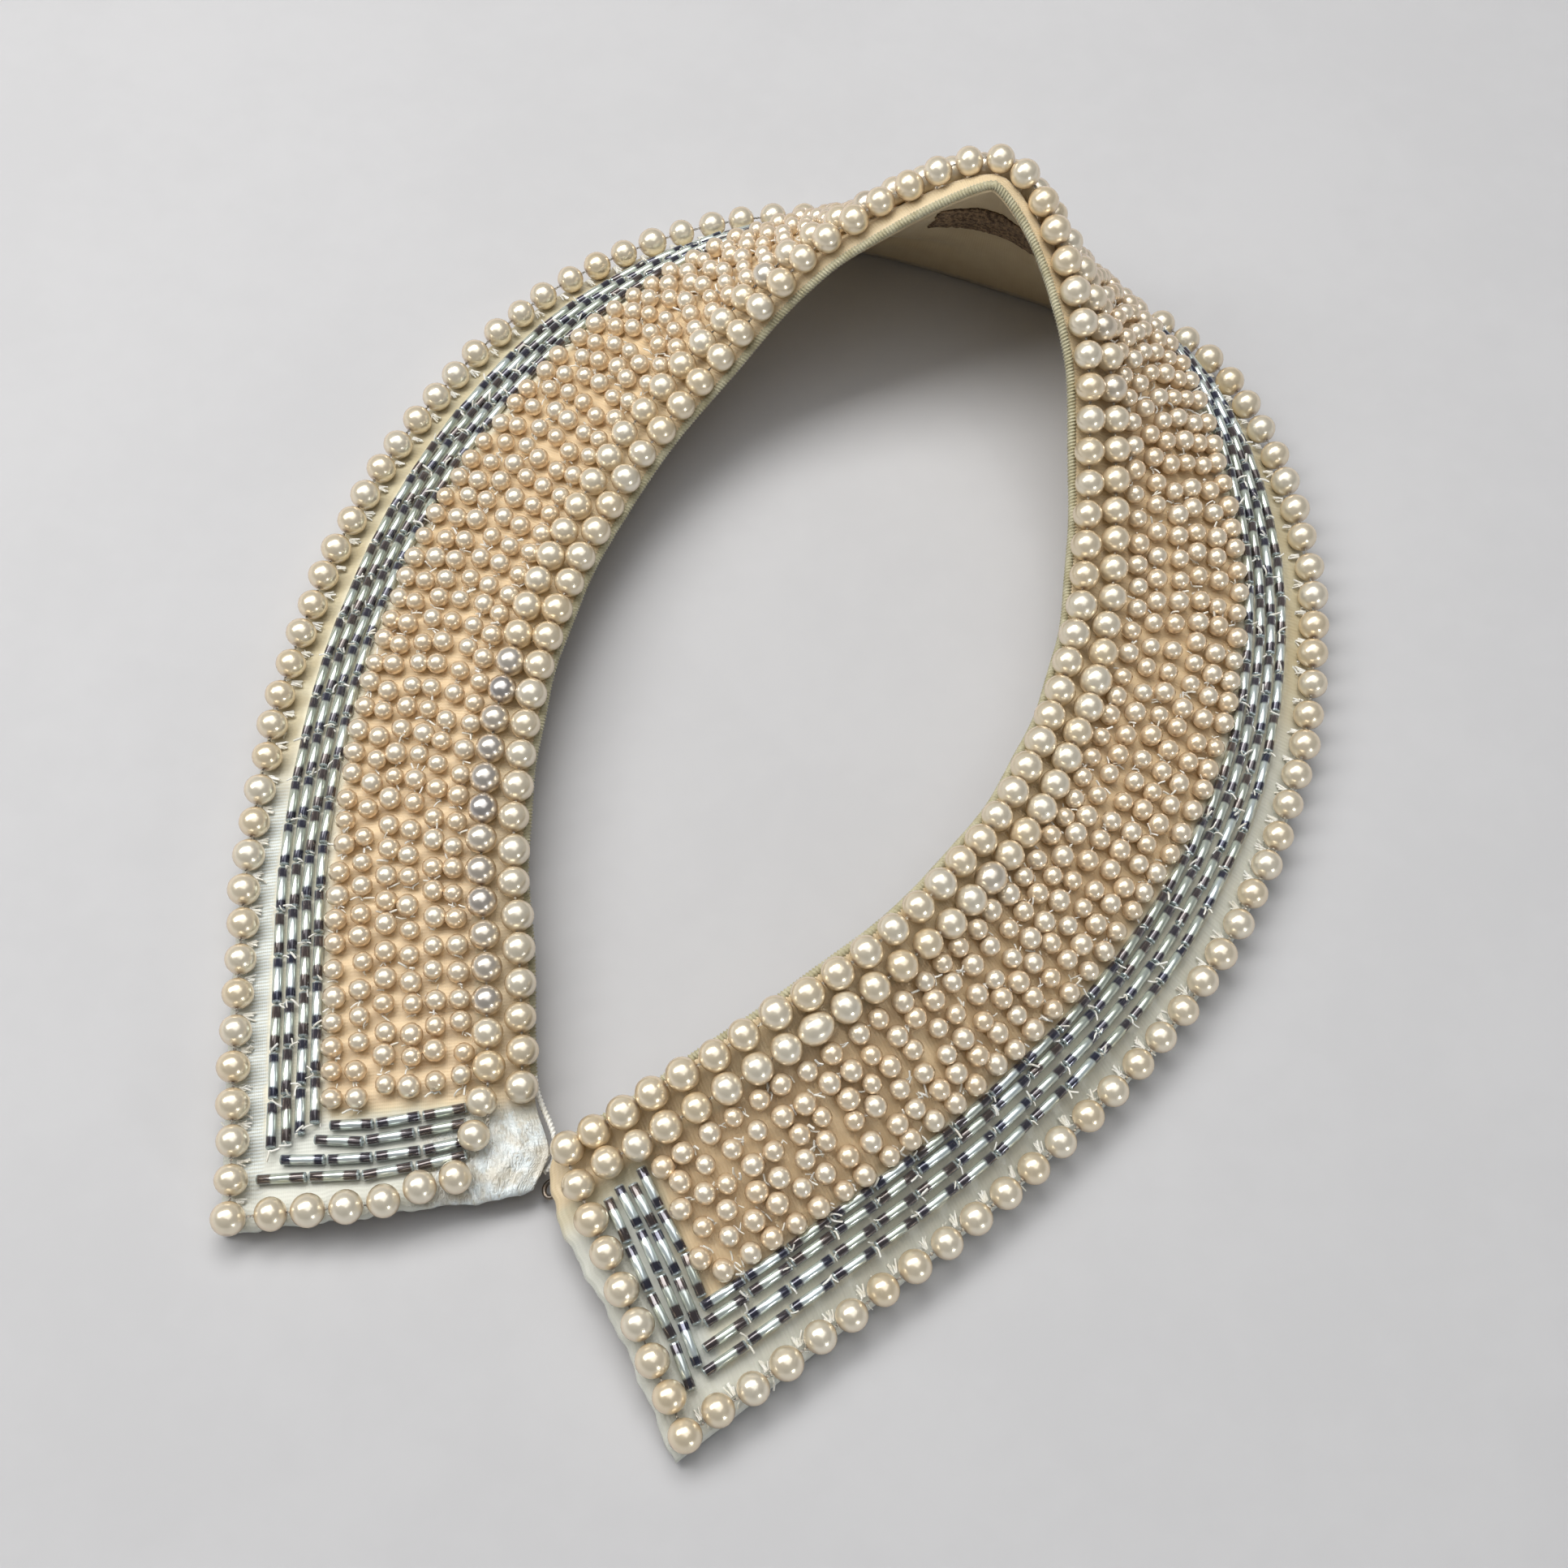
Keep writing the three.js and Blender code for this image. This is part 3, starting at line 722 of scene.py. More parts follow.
def buildBugleTree():
    tree, given, out = openGroup("bugleRun", "GeometryNodeTree", [
        ("Points", "Geometry", None),
        ("Radius", "Float", 0.00092),
        ("Length", "Float", 0.0067),
        ("Bevel", "Float", 0.00012),
        ("Hole", "Float", 0.5),
        ("Seed", "Int", 1),
        ("Material", "Material", None),
    ], [("Bugles", "Geometry")])
    tube = place(tree, "GeometryNodeMeshCylinder", {
        "Vertices": 10, "Side Segments": 3, "Fill Segments": 1, "Radius": given["Radius"],
        "Depth": given["Length"]}, fill_type="NGON")
    parts = placeParts(tree)
    half = times(tree, given["Length"], 0.5)
    # the two rings inside go out to the bevels, the two at the ends draw in
    height = mathNode(tree, "ABSOLUTE", parts[2])
    isEnd = mathNode(tree, "GREATER_THAN", height, times(tree, half, 0.8))
    sign = mathNode(tree, "SIGN", parts[2])
    shoulder = minus(tree, half, given["Bevel"])
    far = timesPlus(tree, isEnd, given["Bevel"], shoulder)
    narrow = mathNode(tree, "DIVIDE", given["Bevel"], given["Radius"])
    shrink = opposite(tree, times(tree, isEnd, narrow))
    moved = place(tree, "ShaderNodeCombineXYZ", {
        0: times(tree, parts[0], shrink), 1: times(tree, parts[1], shrink),
        2: times(tree, sign, far)})
    bevelled = place(tree, "GeometryNodeSetPosition", {
        "Geometry": tube.outputs["Mesh"], "Position": moved.outputs[0]})
    ends = place(tree, "FunctionNodeBooleanMath", {
        0: tube.outputs["Top"], 1: tube.outputs["Bottom"]}, operation="OR").outputs[0]
    inset = place(tree, "GeometryNodeExtrudeMesh", {
        "Mesh": bevelled.outputs[0], "Selection": ends, "Offset Scale": 0.0}, mode="FACES")
    rim = place(tree, "GeometryNodeScaleElements", {
        "Geometry": inset.outputs["Mesh"], "Selection": inset.outputs["Top"],
        "Scale": given["Hole"]})
    bored = place(tree, "GeometryNodeExtrudeMesh", {
        "Mesh": rim.outputs[0], "Selection": inset.outputs["Top"],
        "Offset Scale": times(tree, given["Length"], -0.12)}, mode="FACES")
    lengthwise = mathNode(tree, "DIVIDE", parts[2], half)
    marked = place(tree, "GeometryNodeStoreNamedAttribute", {
        "Geometry": bored.outputs["Mesh"], "Name": "lengthwise", "Value": lengthwise},
        data_type="FLOAT", domain="POINT")
    stretch = place(tree, "ShaderNodeCombineXYZ", {
        0: 1.0, 1: 1.0, 2: namedValue(tree, "stretch", "FLOAT")})
    beads = place(tree, "GeometryNodeInstanceOnPoints", {
        "Points": given["Points"], "Instance": marked.outputs[0],
        "Rotation": facingRotation(tree), "Scale": stretch.outputs[0]})
    tone = randomNumber(tree, 0.0, 1.0, given["Seed"], 0)
    finishTree(tree, out, beads.outputs[0], tone, given["Material"])
    return tree


bugleRun = buildBugleTree()
dice = np.random.default_rng(bugles["seed"])
bugleLift = band["satinTop"] + bugles["radius"] + bugles["raised"]


def buglePiece(name, spot, thread, normal, stretch, seed, node):
    thread = unit(thread + wobble(thread.shape, bugles["strayTurn"]))
    cloud = pointCloud(name + "Points", spot, vectors={"thread": thread, "faceUp": normal},
                       numbers={"stretch": stretch})
    piece = runTree(cloud, bugleRun, {
        "Radius": bugles["radius"] * mm, "Length": bugles["length"] * mm,
        "Bevel": bugles["bevel"] * mm, "Hole": bugles["hole"], "Seed": seed,
        "Material": bugleGlass}, name)
    settle(piece, "bugle", node)


spots, ways, normals, stretches, joints = [], [], [], [], []
for across, rightGap, leftGap, shift in bugles["rows"]:
    lengths = lineLengths(across)
    span = lengths[-1] - rightGap - leftGap
    count = round(span / bugles["pitch"])
    pitch = span / count
    distance = rightGap + pitch * (np.arange(count) + 0.5) + wobble(count, bugles["strayAlong"])
    lift = bugleLift + wobble(count, bugles["strayUp"])
    moved = across + shift * frontShare(distance)
    spot, along, normal, _ = onBand(np.interp(distance, lengths, lineStops),
                                    moved + wobble(count, bugles["strayAcross"]), lift)
    ends = np.interp(distance + pitch / 2, lengths, lineStops)
    joints.append(np.stack([ends, moved], axis=-1))
    spots.append(spot)
    ways.append(along)
    normals.append(normal)
    stretches.append(pitch / bugles["pitch"] * dice.uniform(*bugles["lengths"], count))
buglePiece("bugle_band_beads", np.vstack(spots), np.vstack(ways), np.vstack(normals),
           np.concatenate(stretches), 43, "bugle_band")


def endColumn(count, knots, side):
    # beads laid end to end on a bent line given as across and distance from the end row
    knotAcross, knotDistance = np.array(knots).T
    order = np.argsort(knotAcross)
    share = (np.arange(count) + 0.5) / count
    across = knotAcross[0] + (knotAcross[-1] - knotAcross[0]) * share
    step = abs(knotAcross[-1] - knotAcross[0]) / count

    def onLine(places):
        gap = np.interp(places, knotAcross[order], knotDistance[order])
        total = np.array([lineLengths(line)[-1] for line in places])
        distance = gap if side == "right" else total - gap
        return onBand(tAtEach(places, distance), places, bugleLift)

    spot, _, normal, _ = onLine(across)
    ahead, behind = onLine(across + 1.0)[0], onLine(across - 1.0)[0]
    stretch = (step - bugles["endGap"]) / bugles["length"]
    return spot, unit(ahead - behind), normal, np.full(count, stretch)


for side, seed in (("right", 47), ("left", 53)):
    columns = [endColumn(count, knots, side) for count, knots in bugles[side]]
    spot, thread, normal, stretch = (np.concatenate(part) for part in zip(*columns))
    buglePiece(f"{side}_end_bugle_beads", spot, thread, normal, stretch, seed,
               f"{side}_end_bugles")
print("bugles laid")


# cloth

leftEnd = bandLength / mapUnit
# Where the satin changes, in units of its map. Three numbers are the limits of a zone and how
# soft they are, two are where a slow change starts and ends.
satinZones = {
    "fieldAcross": (0.064, 0.279, 0.008), "fieldAlong": (0.098, leftEnd - 0.142, 0.01),
    "neck": (0.055, 0.07),
    "bugles": (0.272, 0.362, 0.008),
    "middle": (1.3, leftEnd - 0.66, 0.1),
    "pastField": (0.272, 0.29), "pastBugles": (0.352, 0.366),
    "cornerAcross": (0.07, 0.12), "cornerAlong": (0.073, 0.097),
    "leftEnd": (leftEnd - 0.142, leftEnd - 0.118),
    "ribsAcross": (0.362, 0.388, 0.004), "ribsAlong": (leftEnd - 0.62, leftEnd - 0.06, 0.06),
    "bareAcross": (0.09, 0.17), "bareAlong": (leftEnd - 0.15, leftEnd - 0.07),
}
# its colours: each pair is woven or blotched together
satinTones = {
    "cream": ((0.62, 0.57, 0.41, 1), (0.57, 0.47, 0.28, 1)),
    "tan": ((0.71, 0.53, 0.31, 1), (0.79, 0.64, 0.42, 1)),
    "white": ((0.56, 0.58, 0.52, 1), (0.69, 0.71, 0.67, 1)),
    "underBuglesPaintedLight": (0.92, 0.87, 0.70, 1),
    "ribs": (0.80, 0.86, 0.87, 1),
    "worn": (0.82, 0.89, 0.90, 1),
    "stain": (0.55, 0.44, 0.26, 1),
    "creaseShade": (0.42, 0.36, 0.24, 1),
}
satinCloth = {
    "sections": 420, "columns": 84,
    "thick": 0.55,
    "turnedTo": -3.7, "turnedBy": 0.45,  # the level that the ends are drawn towards, and how far
    "pucker": 0.05,
    # the turned outer edge, from above to below: across, lift
    "edge": ((41.45, -2.722), (41.8, -2.972), (41.98, -3.422), (41.98, -4.25), (41.75, -4.6),
             (41.4, -4.6), (41.2, -4.3), (41.2, -3.322)),
    # folds: s from the right end, across, angle, length, width, depth
    "folds": (
        (6.0, 4.0, 70, 12, 1.1, 0.22), (bandLength - 4.5, 3.5, 25, 14, 0.9, -0.6),
        (bandLength - 2.5, 7.5, -30, 11, 0.8, 0.5), (bandLength - 7.5, 1.8, 60, 9, 0.8, 0.45),
        (bandLength - 1.2, 1.5, 10, 8, 0.7, -0.5), (bandLength - 9.5, 3.2, -15, 9, 0.7, 0.4),
        (bandLength - 5.5, 6.2, 80, 8, 0.7, -0.45), (bandLength - 6.5, -0.5, 15, 9, 0.6, 0.4),
        (bandLength - 3.2, 0.6, -55, 7, 0.6, 0.45), (24, 38.6, 3, 22, 0.8, 0.16),
        (71, 38.2, -2, 30, 0.9, 0.2), (118, 38.8, 2, 18, 0.7, 0.14),
        (171, 38.4, -1, 26, 0.9, 0.2), (236, 38.7, 2, 34, 0.8, 0.15),
        (301, 38.3, 1, 21, 0.9, 0.2), (349, 38.6, -2, 29, 0.8, 0.17),
        (402, 38.4, 2, 20, 0.8, 0.18),
    ),
}
liningCloth = {
    "sections": 360, "topColumns": 72, "underColumns": 88,
    "risesFrom": 2.4, "riseRun": 3.0,  # across: it rises towards the neck edge
    "topRises": 0.62, "underRises": 1.15,
    "turnedTo": -4.45, "turnedBy": 0.6,
    "short": 0.7,  # it ends this much inside the satin's ends
    # folds in the lining, deepest where the band turns up at the back
    "folds": (
        (38, 17, 4, 46, 1.9, 0.7), (52, 29, -6, 34, 1.5, -0.45), (84, 12, 8, 38, 1.7, 0.6),
        (97, 24, -3, 52, 2.2, 0.8), (128, 33, 5, 30, 1.6, -0.5), (141, 9, -9, 27, 1.4, 0.5),
        (163, 19, 3, 61, 2.1, 0.75), (186, 29, -7, 36, 1.7, 0.6), (203, 7.5, 6, 33, 1.3, -0.5),
        (214, 23, -4, 48, 1.9, 0.85), (228, 14, 12, 26, 1.5, -0.45), (247, 31, 5, 39, 1.8, 0.7),
        (262, 10, -6, 31, 1.4, 0.6), (283, 21, 2, 57, 2.3, 0.8), (306, 33, -5, 28, 1.5, -0.45),
        (319, 13, 7, 35, 1.6, 0.55), (347, 25, -3, 49, 2.0, 0.7), (371, 9, 5, 29, 1.4, -0.5),
        (392, 18, -7, 41, 1.8, 0.65), (415, 29, 4, 24, 1.5, 0.5),
        (33, 6, 82, 9, 1.2, 0.3), (79, 5, 97, 8, 1.1, 0.28), (132, 5.5, 86, 10, 1.3, 0.3),
        (176, 5, 93, 8, 1.0, -0.28), (221, 6, 84, 11, 1.2, 0.32), (255, 5, 98, 9, 1.1, 0.3),
        (309, 5.5, 88, 10, 1.3, -0.3), (358, 5, 92, 8, 1.0, 0.28), (401, 6, 85, 9, 1.2, 0.3),
    ),
}
endReach = 9.0  # how far from each end the cloth is moved to meet its outline
endRipple = ((0.22, 0.83), (0.14, 2.1))  # in that outline: reach, and turn for each millimetre


def edgeStretch(s, across, side):
    # how far a place near an end is moved along, so that the cloth ends in its own outline
    column = 1 if side == "right" else 2
    margin = np.interp(across, endMargins[:, 0], endMargins[:, column])
    (reach, turn), (lesser, quicker) = endRipple
    margin = margin + reach * np.sin(across * turn + column) + lesser * np.sin(across * quicker)
    away = s if side == "right" else bandLength - s
    return margin * smoothStep(1 - away / endReach) * (-1 if side == "right" else 1)


# The bare corner at the left swells out past the neck line: distance from the end, how far.
cornerSwell = np.array([(0, 0), (1.9, 0.9), (3.6, 1.7), (5.3, 2.35), (7.4, 2.05), (9.7, 1.35),
                        (12.2, 0.6), (15.5, 0)])


def swollen(s, across):
    out = np.interp(bandLength - s, cornerSwell[:, 0], cornerSwell[:, 1])
    return across - out * smoothStep((7.0 - across) / 8.0)


def clothPlace(s, across, lift, trim=0.0):
    across = swollen(s, across)
    t = np.interp(s, middleLengths, lineStops)
    beyond = edgeStretch(s, across, "right") + edgeStretch(s, across, "left")
    nearEnd = (np.clip(1 - s / endReach, 0, 1)
               - np.clip(1 - (bandLength - s) / endReach, 0, 1))
    return onBand(t, across, lift, beyond + trim * nearEnd)[0]


# how far the edge rolls down at the back of the neck, and from where to where, as t
neckRoll = {"satin": 2.2, "lining": 1.5, "edging": 1.95,
            "from": 0.42, "rise": 0.085, "to": 0.64, "fall": 0.125}


def rollAt(t):
    # 1 at the back of the neck and 0 elsewhere
    return (smoothStep((t - neckRoll["from"]) / neckRoll["rise"])
            * smoothStep((neckRoll["to"] - t) / neckRoll["fall"]))


def rollShare(s, across):
    near = np.clip((0.9 - across) / 1.9, 0, 1) ** 1.5
    return rollAt(np.interp(s, middleLengths, lineStops)) * near


def closedTube(name, rows, uvs, material):
    # rows: sections x points round the profile; the ends are closed by strips of quads
    sections, around = rows.shape[:2]
    index = np.arange(sections * around).reshape(sections, around)
    nextIndex = np.roll(index, -1, axis=1)
    sides = np.stack([index[:-1], nextIndex[:-1], nextIndex[1:], index[1:]], axis=-1)
    faces = sides.reshape(-1, 4).tolist()
    for section, flip in ((index[0].tolist(), False), (index[-1].tolist(), True)):
        for k in range(around // 2 - 1):
            quad = [section[k], section[k + 1], section[-k - 2], section[-k - 1]]
            faces.append(quad if flip else quad[::-1])
    return faceOut(makeMesh(name, rows.reshape(-1, 3), faces, material, uvs.reshape(-1, 2)))


def faceOut(piece):
    # turns the faces over where the mesh's volume comes out negative
    mesh = piece.data
    mesh.calc_loop_triangles()
    points = np.array([vertex.co[:] for vertex in mesh.vertices])
    corners = np.array([triangle.vertices[:] for triangle in mesh.loop_triangles])
    first, second, third = (points[corners[:, k]] for k in range(3))
    if np.einsum("ij,ij->i", first, np.cross(second, third)).sum() < 0:
        mesh.flip_normals()
    return piece


def spacedSections(count):
    # closer near both ends, where the outline turns
    even = np.linspace(0, 1, count)
    ends = np.array([0.0, 0.4, 0.9, 1.5, 2.2, 3.0, 4.0, 5.2, 6.6])
    inner = even * (bandLength - 16.0) + 8.0
    return np.concatenate([ends, inner, bandLength - ends[::-1]])


def clothMaterial(name, cream, blotch, ribs, **plain):
    material, tree, shader = newMaterial(name, **plain)
    lie = place(tree, "ShaderNodeUVMap", uv_map="lie").outputs[0]
    weave = groupNode(tree, clothRibs, {
        "Lie": lie, "Rib Pitch": ribs[0], "Cross Pitch": ribs[1], "Waver": 0.4})
    mottle = groupNode(tree, softMottle, {
        "Place": objectPlace(tree), "Colour": cream, "Patches": blotch, "Scale": 45.0,
        "Amount": 0.7})
    return material, tree, shader, lie, weave, mottle


def between(tree, value, low, high, soft):
    # 1 where the value lies between two limits, softly 0 outside them
    rise = smoothRange(tree, value, low - soft, low + soft)
    fall = smoothRange(tree, value, high - soft, high + soft)
    return minus(tree, rise, fall, clamp=True)


def satinMaterial():
    material, tree, shader, lie, weave, mottle = clothMaterial(
        "creamSatin", *satinTones["cream"], (0.5, 0.3),
        Sheen_Weight=0.35, Sheen_Roughness=0.35, Anisotropic=0.3, Coat_Roughness=0.16)
    streak = weave.outputs["Streak"]
    # places along and across the band, with ragged borders
    parts = place(tree, "ShaderNodeSeparateXYZ", {0: lie}).outputs
    scuff = noiseNode(tree, objectPlace(tree), 330.0, 5.0, Roughness=0.65)
    stray = timesPlus(tree, scuff, 0.02, -0.01)
    along = plus(tree, parts[0], stray)
    across = plus(tree, parts[1], stray)

    def zone(value, name):
        limits = satinZones[name]
        shape = between if len(limits) == 3 else smoothRange
        return shape(tree, value, *limits)

    # the tan ground under the small pearls and along the neck
    field = times(tree, zone(across, "fieldAcross"), zone(along, "fieldAlong"))
    neck = times(tree, 0.7, opposite(tree, zone(across, "neck")))
    colour = mixColours(tree, mathNode(tree, "MAXIMUM", field, neck), mottle.outputs["Colour"],
                        mixColours(tree, streak, *satinTones["tan"]))
    # pale cloth between the bugles, lightened further as painted light in place of the light that
    # passes through the glass beads
    under = times(tree, zone(across, "bugles"), 0.85)
    colour = mixColours(tree, under, colour, satinTones["underBuglesPaintedLight"])
    # fresher, whiter satin towards both fronts and along the ends
    outside = mathNode(tree, "MAXIMUM",
                       times(tree, zone(across, "pastField"), 0.25), zone(across, "pastBugles"))
    fronts = times(tree, opposite(tree, zone(along, "middle")), outside)
    rightCorner = times(tree, zone(across, "cornerAcross"),
                        opposite(tree, zone(along, "cornerAlong")))
    corners = mathNode(tree, "MAXIMUM", rightCorner, zone(along, "leftEnd"))
    fresh = times(tree, mathNode(tree, "MAXIMUM", fronts, corners), 0.85)
    colour = mixColours(tree, fresh, colour, mixColours(tree, streak, *satinTones["white"]))
    # plain ribs on the left front, beside the bugles
    ribbed = times(tree, zone(across, "ribsAcross"), zone(along, "ribsAlong"))
    ribs = times(tree, ribbed, smoothRange(tree, weave.outputs["Height"], 0.2, 0.8))
    colour = mixColours(tree, ribs, colour, satinTones["ribs"])
    # the bare corner at the left front is worn white, stained and crumpled, with painted shade in
    # its creases
    bare = times(tree, zone(along, "bareAlong"), opposite(tree, zone(across, "bareAcross")))
    patchy = timesPlus(tree, scuff, 1.5, -0.75)
    worn = smoothRange(tree, plus(tree, bare, patchy), 0.45, 0.7)
    colour = mixColours(tree, worn, colour, satinTones["worn"])
    stain = times(tree, bare, smoothRange(tree, mottle.outputs["Mask"], 0.2, 0.6))
    colour = mixColours(tree, times(tree, stain, 0.6), colour, satinTones["stain"])
    stretched = place(tree, "ShaderNodeMapping", {"Vector": lie, "Scale": (60.0, 190.0, 1.0)})
    crumple = noiseNode(tree, stretched.outputs[0], 1.0, 3.0, Distortion=1.6)
    # painted shade: darker in the hollows of the crumple bump
    creaseShade = times(tree, opposite(tree, smoothRange(tree, crumple, 0.3, 0.46)),
                   times(tree, bare, 0.6))
    colour = mixColours(tree, creaseShade, colour, satinTones["creaseShade"])
    tree.links.new(colour, shader.inputs["Base Color"])
    tree.links.new(timesPlus(tree, bare, -0.2, 0.42), shader.inputs["Roughness"])
    tree.links.new(times(tree, bare, 0.8), shader.inputs["Coat Weight"])
    crumpled = times(tree, crumple, times(tree, bare, 20.0))
    ribHeight = times(tree, weave.outputs["Height"], timesPlus(tree, ribbed, 2.0, 1.0))
    bumpInto(tree, shader, plus(tree, ribHeight, crumpled), 0.00006, 0.7)
    return material


def liningMaterial():
    # its tan colours are darkened, partly as painted shade for the inside of the band
    material, tree, shader, lie, weave, mottle = clothMaterial(
        "tanLining", (0.55, 0.44, 0.27, 1), (0.46, 0.34, 0.18, 1), (0.42, 0.3),
        Roughness=0.45, Sheen_Weight=0.3, Sheen_Roughness=0.4, Anisotropic=0.3)
    colour = mixColours(tree, times(tree, weave.outputs["Streak"], 0.35),
                        mottle.outputs["Colour"], (0.63, 0.52, 0.34, 1))
    tree.links.new(colour, shader.inputs["Base Color"])
    bumpInto(tree, shader, weave.outputs["Height"], 0.00004, 0.5)
    return material


creamSatin = satinMaterial()
tanLining = liningMaterial()
tableGap = 0.02  # no cloth lies lower than this


def turnEnds(lift, cloth):
    # the two end sections are drawn down round the edge
    for end in (0, -1):
        lift[end] = lift[end] + (cloth["turnedTo"] - lift[end]) * cloth["turnedBy"]


def satinPiece():
    inner = np.linspace(band["neckEdge"] + 0.3, band["outerEdge"] - 0.4, satinCloth["columns"])
    top, under = band["satinTop"], band["satinTop"] - satinCloth["thick"]
    # round each section, across and lift: over the top, down round the turned edge, back
    # underneath and round the neck edge
    profile = [(out, top) for out in inner] + list(satinCloth["edge"])
    profile += [(out, under) for out in inner[::-1]]
    profile += [(band["neckEdge"] + 0.08, under + 0.15), (band["neckEdge"], (top + under) / 2),
                (band["neckEdge"] + 0.08, top - 0.15)]
    across, level = np.array(profile).T
    onTop = np.arange(len(across)) < len(inner)
    s, across = np.meshgrid(spacedSections(satinCloth["sections"]), across, indexing="ij")
    pucker = np.sin(s * 1.27 + 0.8 * np.sin(across * 0.7)) * np.sin(across * 0.9)
    depth = creased(satinCloth["folds"], s, across) + satinCloth["pucker"] * pucker
    lift = level - depth * onTop
    lift = lift - neckRoll["satin"] * rollShare(s, across)
    turnEnds(lift, satinCloth)
    rows = clothPlace(s, across, lift)
    rows[:, :, 2] = np.maximum(rows[:, :, 2], tableGap)
    return closedTube("satin_band", rows, np.stack([s, across], axis=-1) / mapUnit, creamSatin)


def liningFold(s, across):
    # the lining's creases, which die out towards its edges
    nearEdge = np.clip((39.0 - across) / 4.0, 0, 1) * np.clip((across - 0.5) / 3.0, 0, 1)
    return creased(liningCloth["folds"], s, across) * nearEdge


def liningPiece():
    inner = np.linspace(band["neckEdge"] + 0.25, 40.6, liningCloth["topColumns"])
    outer = np.linspace(39.6, band["neckEdge"] + 0.3, liningCloth["underColumns"])
    top, under = band["liningTop"], band["liningUnder"]
    profile = [(out, top) for out in inner] + [(41.05, top - 0.1), (41.05, under)]
    profile += [(out, under) for out in outer]
    profile += [(band["neckEdge"] + 0.05, under + 0.2), (band["neckEdge"] + 0.05, top - 0.2)]
    across, level = np.array(profile).T
    below = (np.arange(len(across)) >= len(inner) + 2) & (np.arange(len(across)) < len(across) - 2)
    s, across = np.meshgrid(spacedSections(liningCloth["sections"]), across, indexing="ij")
    lift = level + liningFold(s, across) * below
    # along the neck the lining comes up to the satin, and the edging closes the two
    rise = smoothStep((liningCloth["risesFrom"] - across) / liningCloth["riseRun"])
    rise = rise * (1 - rollAt(np.interp(s, middleLengths, lineStops)))
    lift = lift + rise * np.where(lift > top - 0.15, liningCloth["topRises"],
                                  liningCloth["underRises"])
    lift = lift - neckRoll["lining"] * rollShare(s, across)
    turnEnds(lift, liningCloth)
    rows = clothPlace(s, across, lift, trim=liningCloth["short"])
    rows[:, :, 2] = np.maximum(rows[:, :, 2], tableGap)
    return closedTube("lining_cloth", rows, np.stack([s, across], axis=-1) / mapUnit, tanLining)


satinBand = settle(satinPiece(), "satin", "satin_top")
liningBand = settle(liningPiece(), "lining", "lining")
print("cloth laid:", len(satinBand.data.polygons), "and", len(liningBand.data.polygons), "faces")


# threads, edging, loop

def threadMaterial(name, colour, dark, scale):
    material, tree, shader = newMaterial(name, Roughness=0.75, Sheen_Weight=0.5,
                                         Sheen_Roughness=0.4)
    mottle = groupNode(tree, softMottle, {
        "Place": objectPlace(tree), "Colour": colour, "Patches": dark, "Scale": scale,
        "Amount": 0.8})
    tree.links.new(mottle.outputs["Colour"], shader.inputs["Base Color"])
    bumpInto(tree, shader, mottle.outputs["Mask"], 0.00004, 0.5)
    return material


whiteThread = threadMaterial("whiteThread", (0.90, 0.90, 0.86, 1), (0.76, 0.72, 0.60, 1), 500.0)
edgingCotton = threadMaterial("edgingCotton", (0.52, 0.49, 0.34, 1), (0.38, 0.34, 0.20, 1), 420.0)
rowCotton = threadMaterial("rowCotton", (0.74, 0.68, 0.55, 1), (0.56, 0.46, 0.31, 1), 500.0)


def buildCordTree():
    # a cord of two plies that wind round each other along the line
    tree, given, out = openGroup("pliedCord", "GeometryNodeTree", [
        ("Line", "Geometry", None),
        ("Radius", "Float", 0.0006),
        ("Lobes", "Float", 0.28),
        ("Turn Length", "Float", 0.0022),
        ("Step", "Float", 0.0004),
        ("Sides", "Int", 10),
        ("Material", "Material", None),
    ], [("Cord", "Geometry")])
    curve = place(tree, "GeometryNodeMeshToCurve", {0: given["Line"]})
    fine = place(tree, "GeometryNodeResampleCurve", {
        "Curve": curve.outputs[0], "Length": given["Step"]}, mode="LENGTH")
    run = place(tree, "GeometryNodeSplineParameter").outputs["Length"]
    turns = mathNode(tree, "DIVIDE", run, given["Turn Length"])
    tilt = times(tree, turns, 2 * math.pi)
    tilted = place(tree, "GeometryNodeSetCurveTilt", {"Curve": fine.outputs[0], "Tilt": tilt})
    ring = place(tree, "GeometryNodeCurvePrimitiveCircle", {
        "Resolution": given["Sides"], "Radius": given["Radius"]}, mode="RADIUS")
    parts = placeParts(tree)
    squash = opposite(tree, given["Lobes"])
    flat = place(tree, "ShaderNodeCombineXYZ", {
        0: parts[0], 1: times(tree, parts[1], squash), 2: parts[2]})
    profile = place(tree, "GeometryNodeSetPosition", {
        "Geometry": ring.outputs[0], "Position": flat.outputs[0]})
    cord = place(tree, "GeometryNodeCurveToMesh", {
        "Curve": tilted.outputs[0], "Profile Curve": profile.outputs[0], "Fill Caps": True})
    smooth = place(tree, "GeometryNodeSetShadeSmooth", {0: cord.outputs[0]})
    painted = place(tree, "GeometryNodeSetMaterial", {
        0: smooth.outputs[0], "Material": given["Material"]})
    tree.links.new(painted.outputs[0], out.inputs[0])
    return tree


pliedCord = buildCordTree()


def cordPiece(name, runs, values):
    spots, edges = [], []
    for run in runs:
        first = len(spots)
        spots.extend(run.tolist())
        edges.extend((first + k, first + k + 1) for k in range(len(run) - 1))
    line = pointCloud(name + "Line", np.array(spots), edges)
    values = {key: value * mm if key in ("Radius", "Turn Length", "Step") else value
              for key, value in values.items()}
    return runTree(line, pliedCord, values, name)


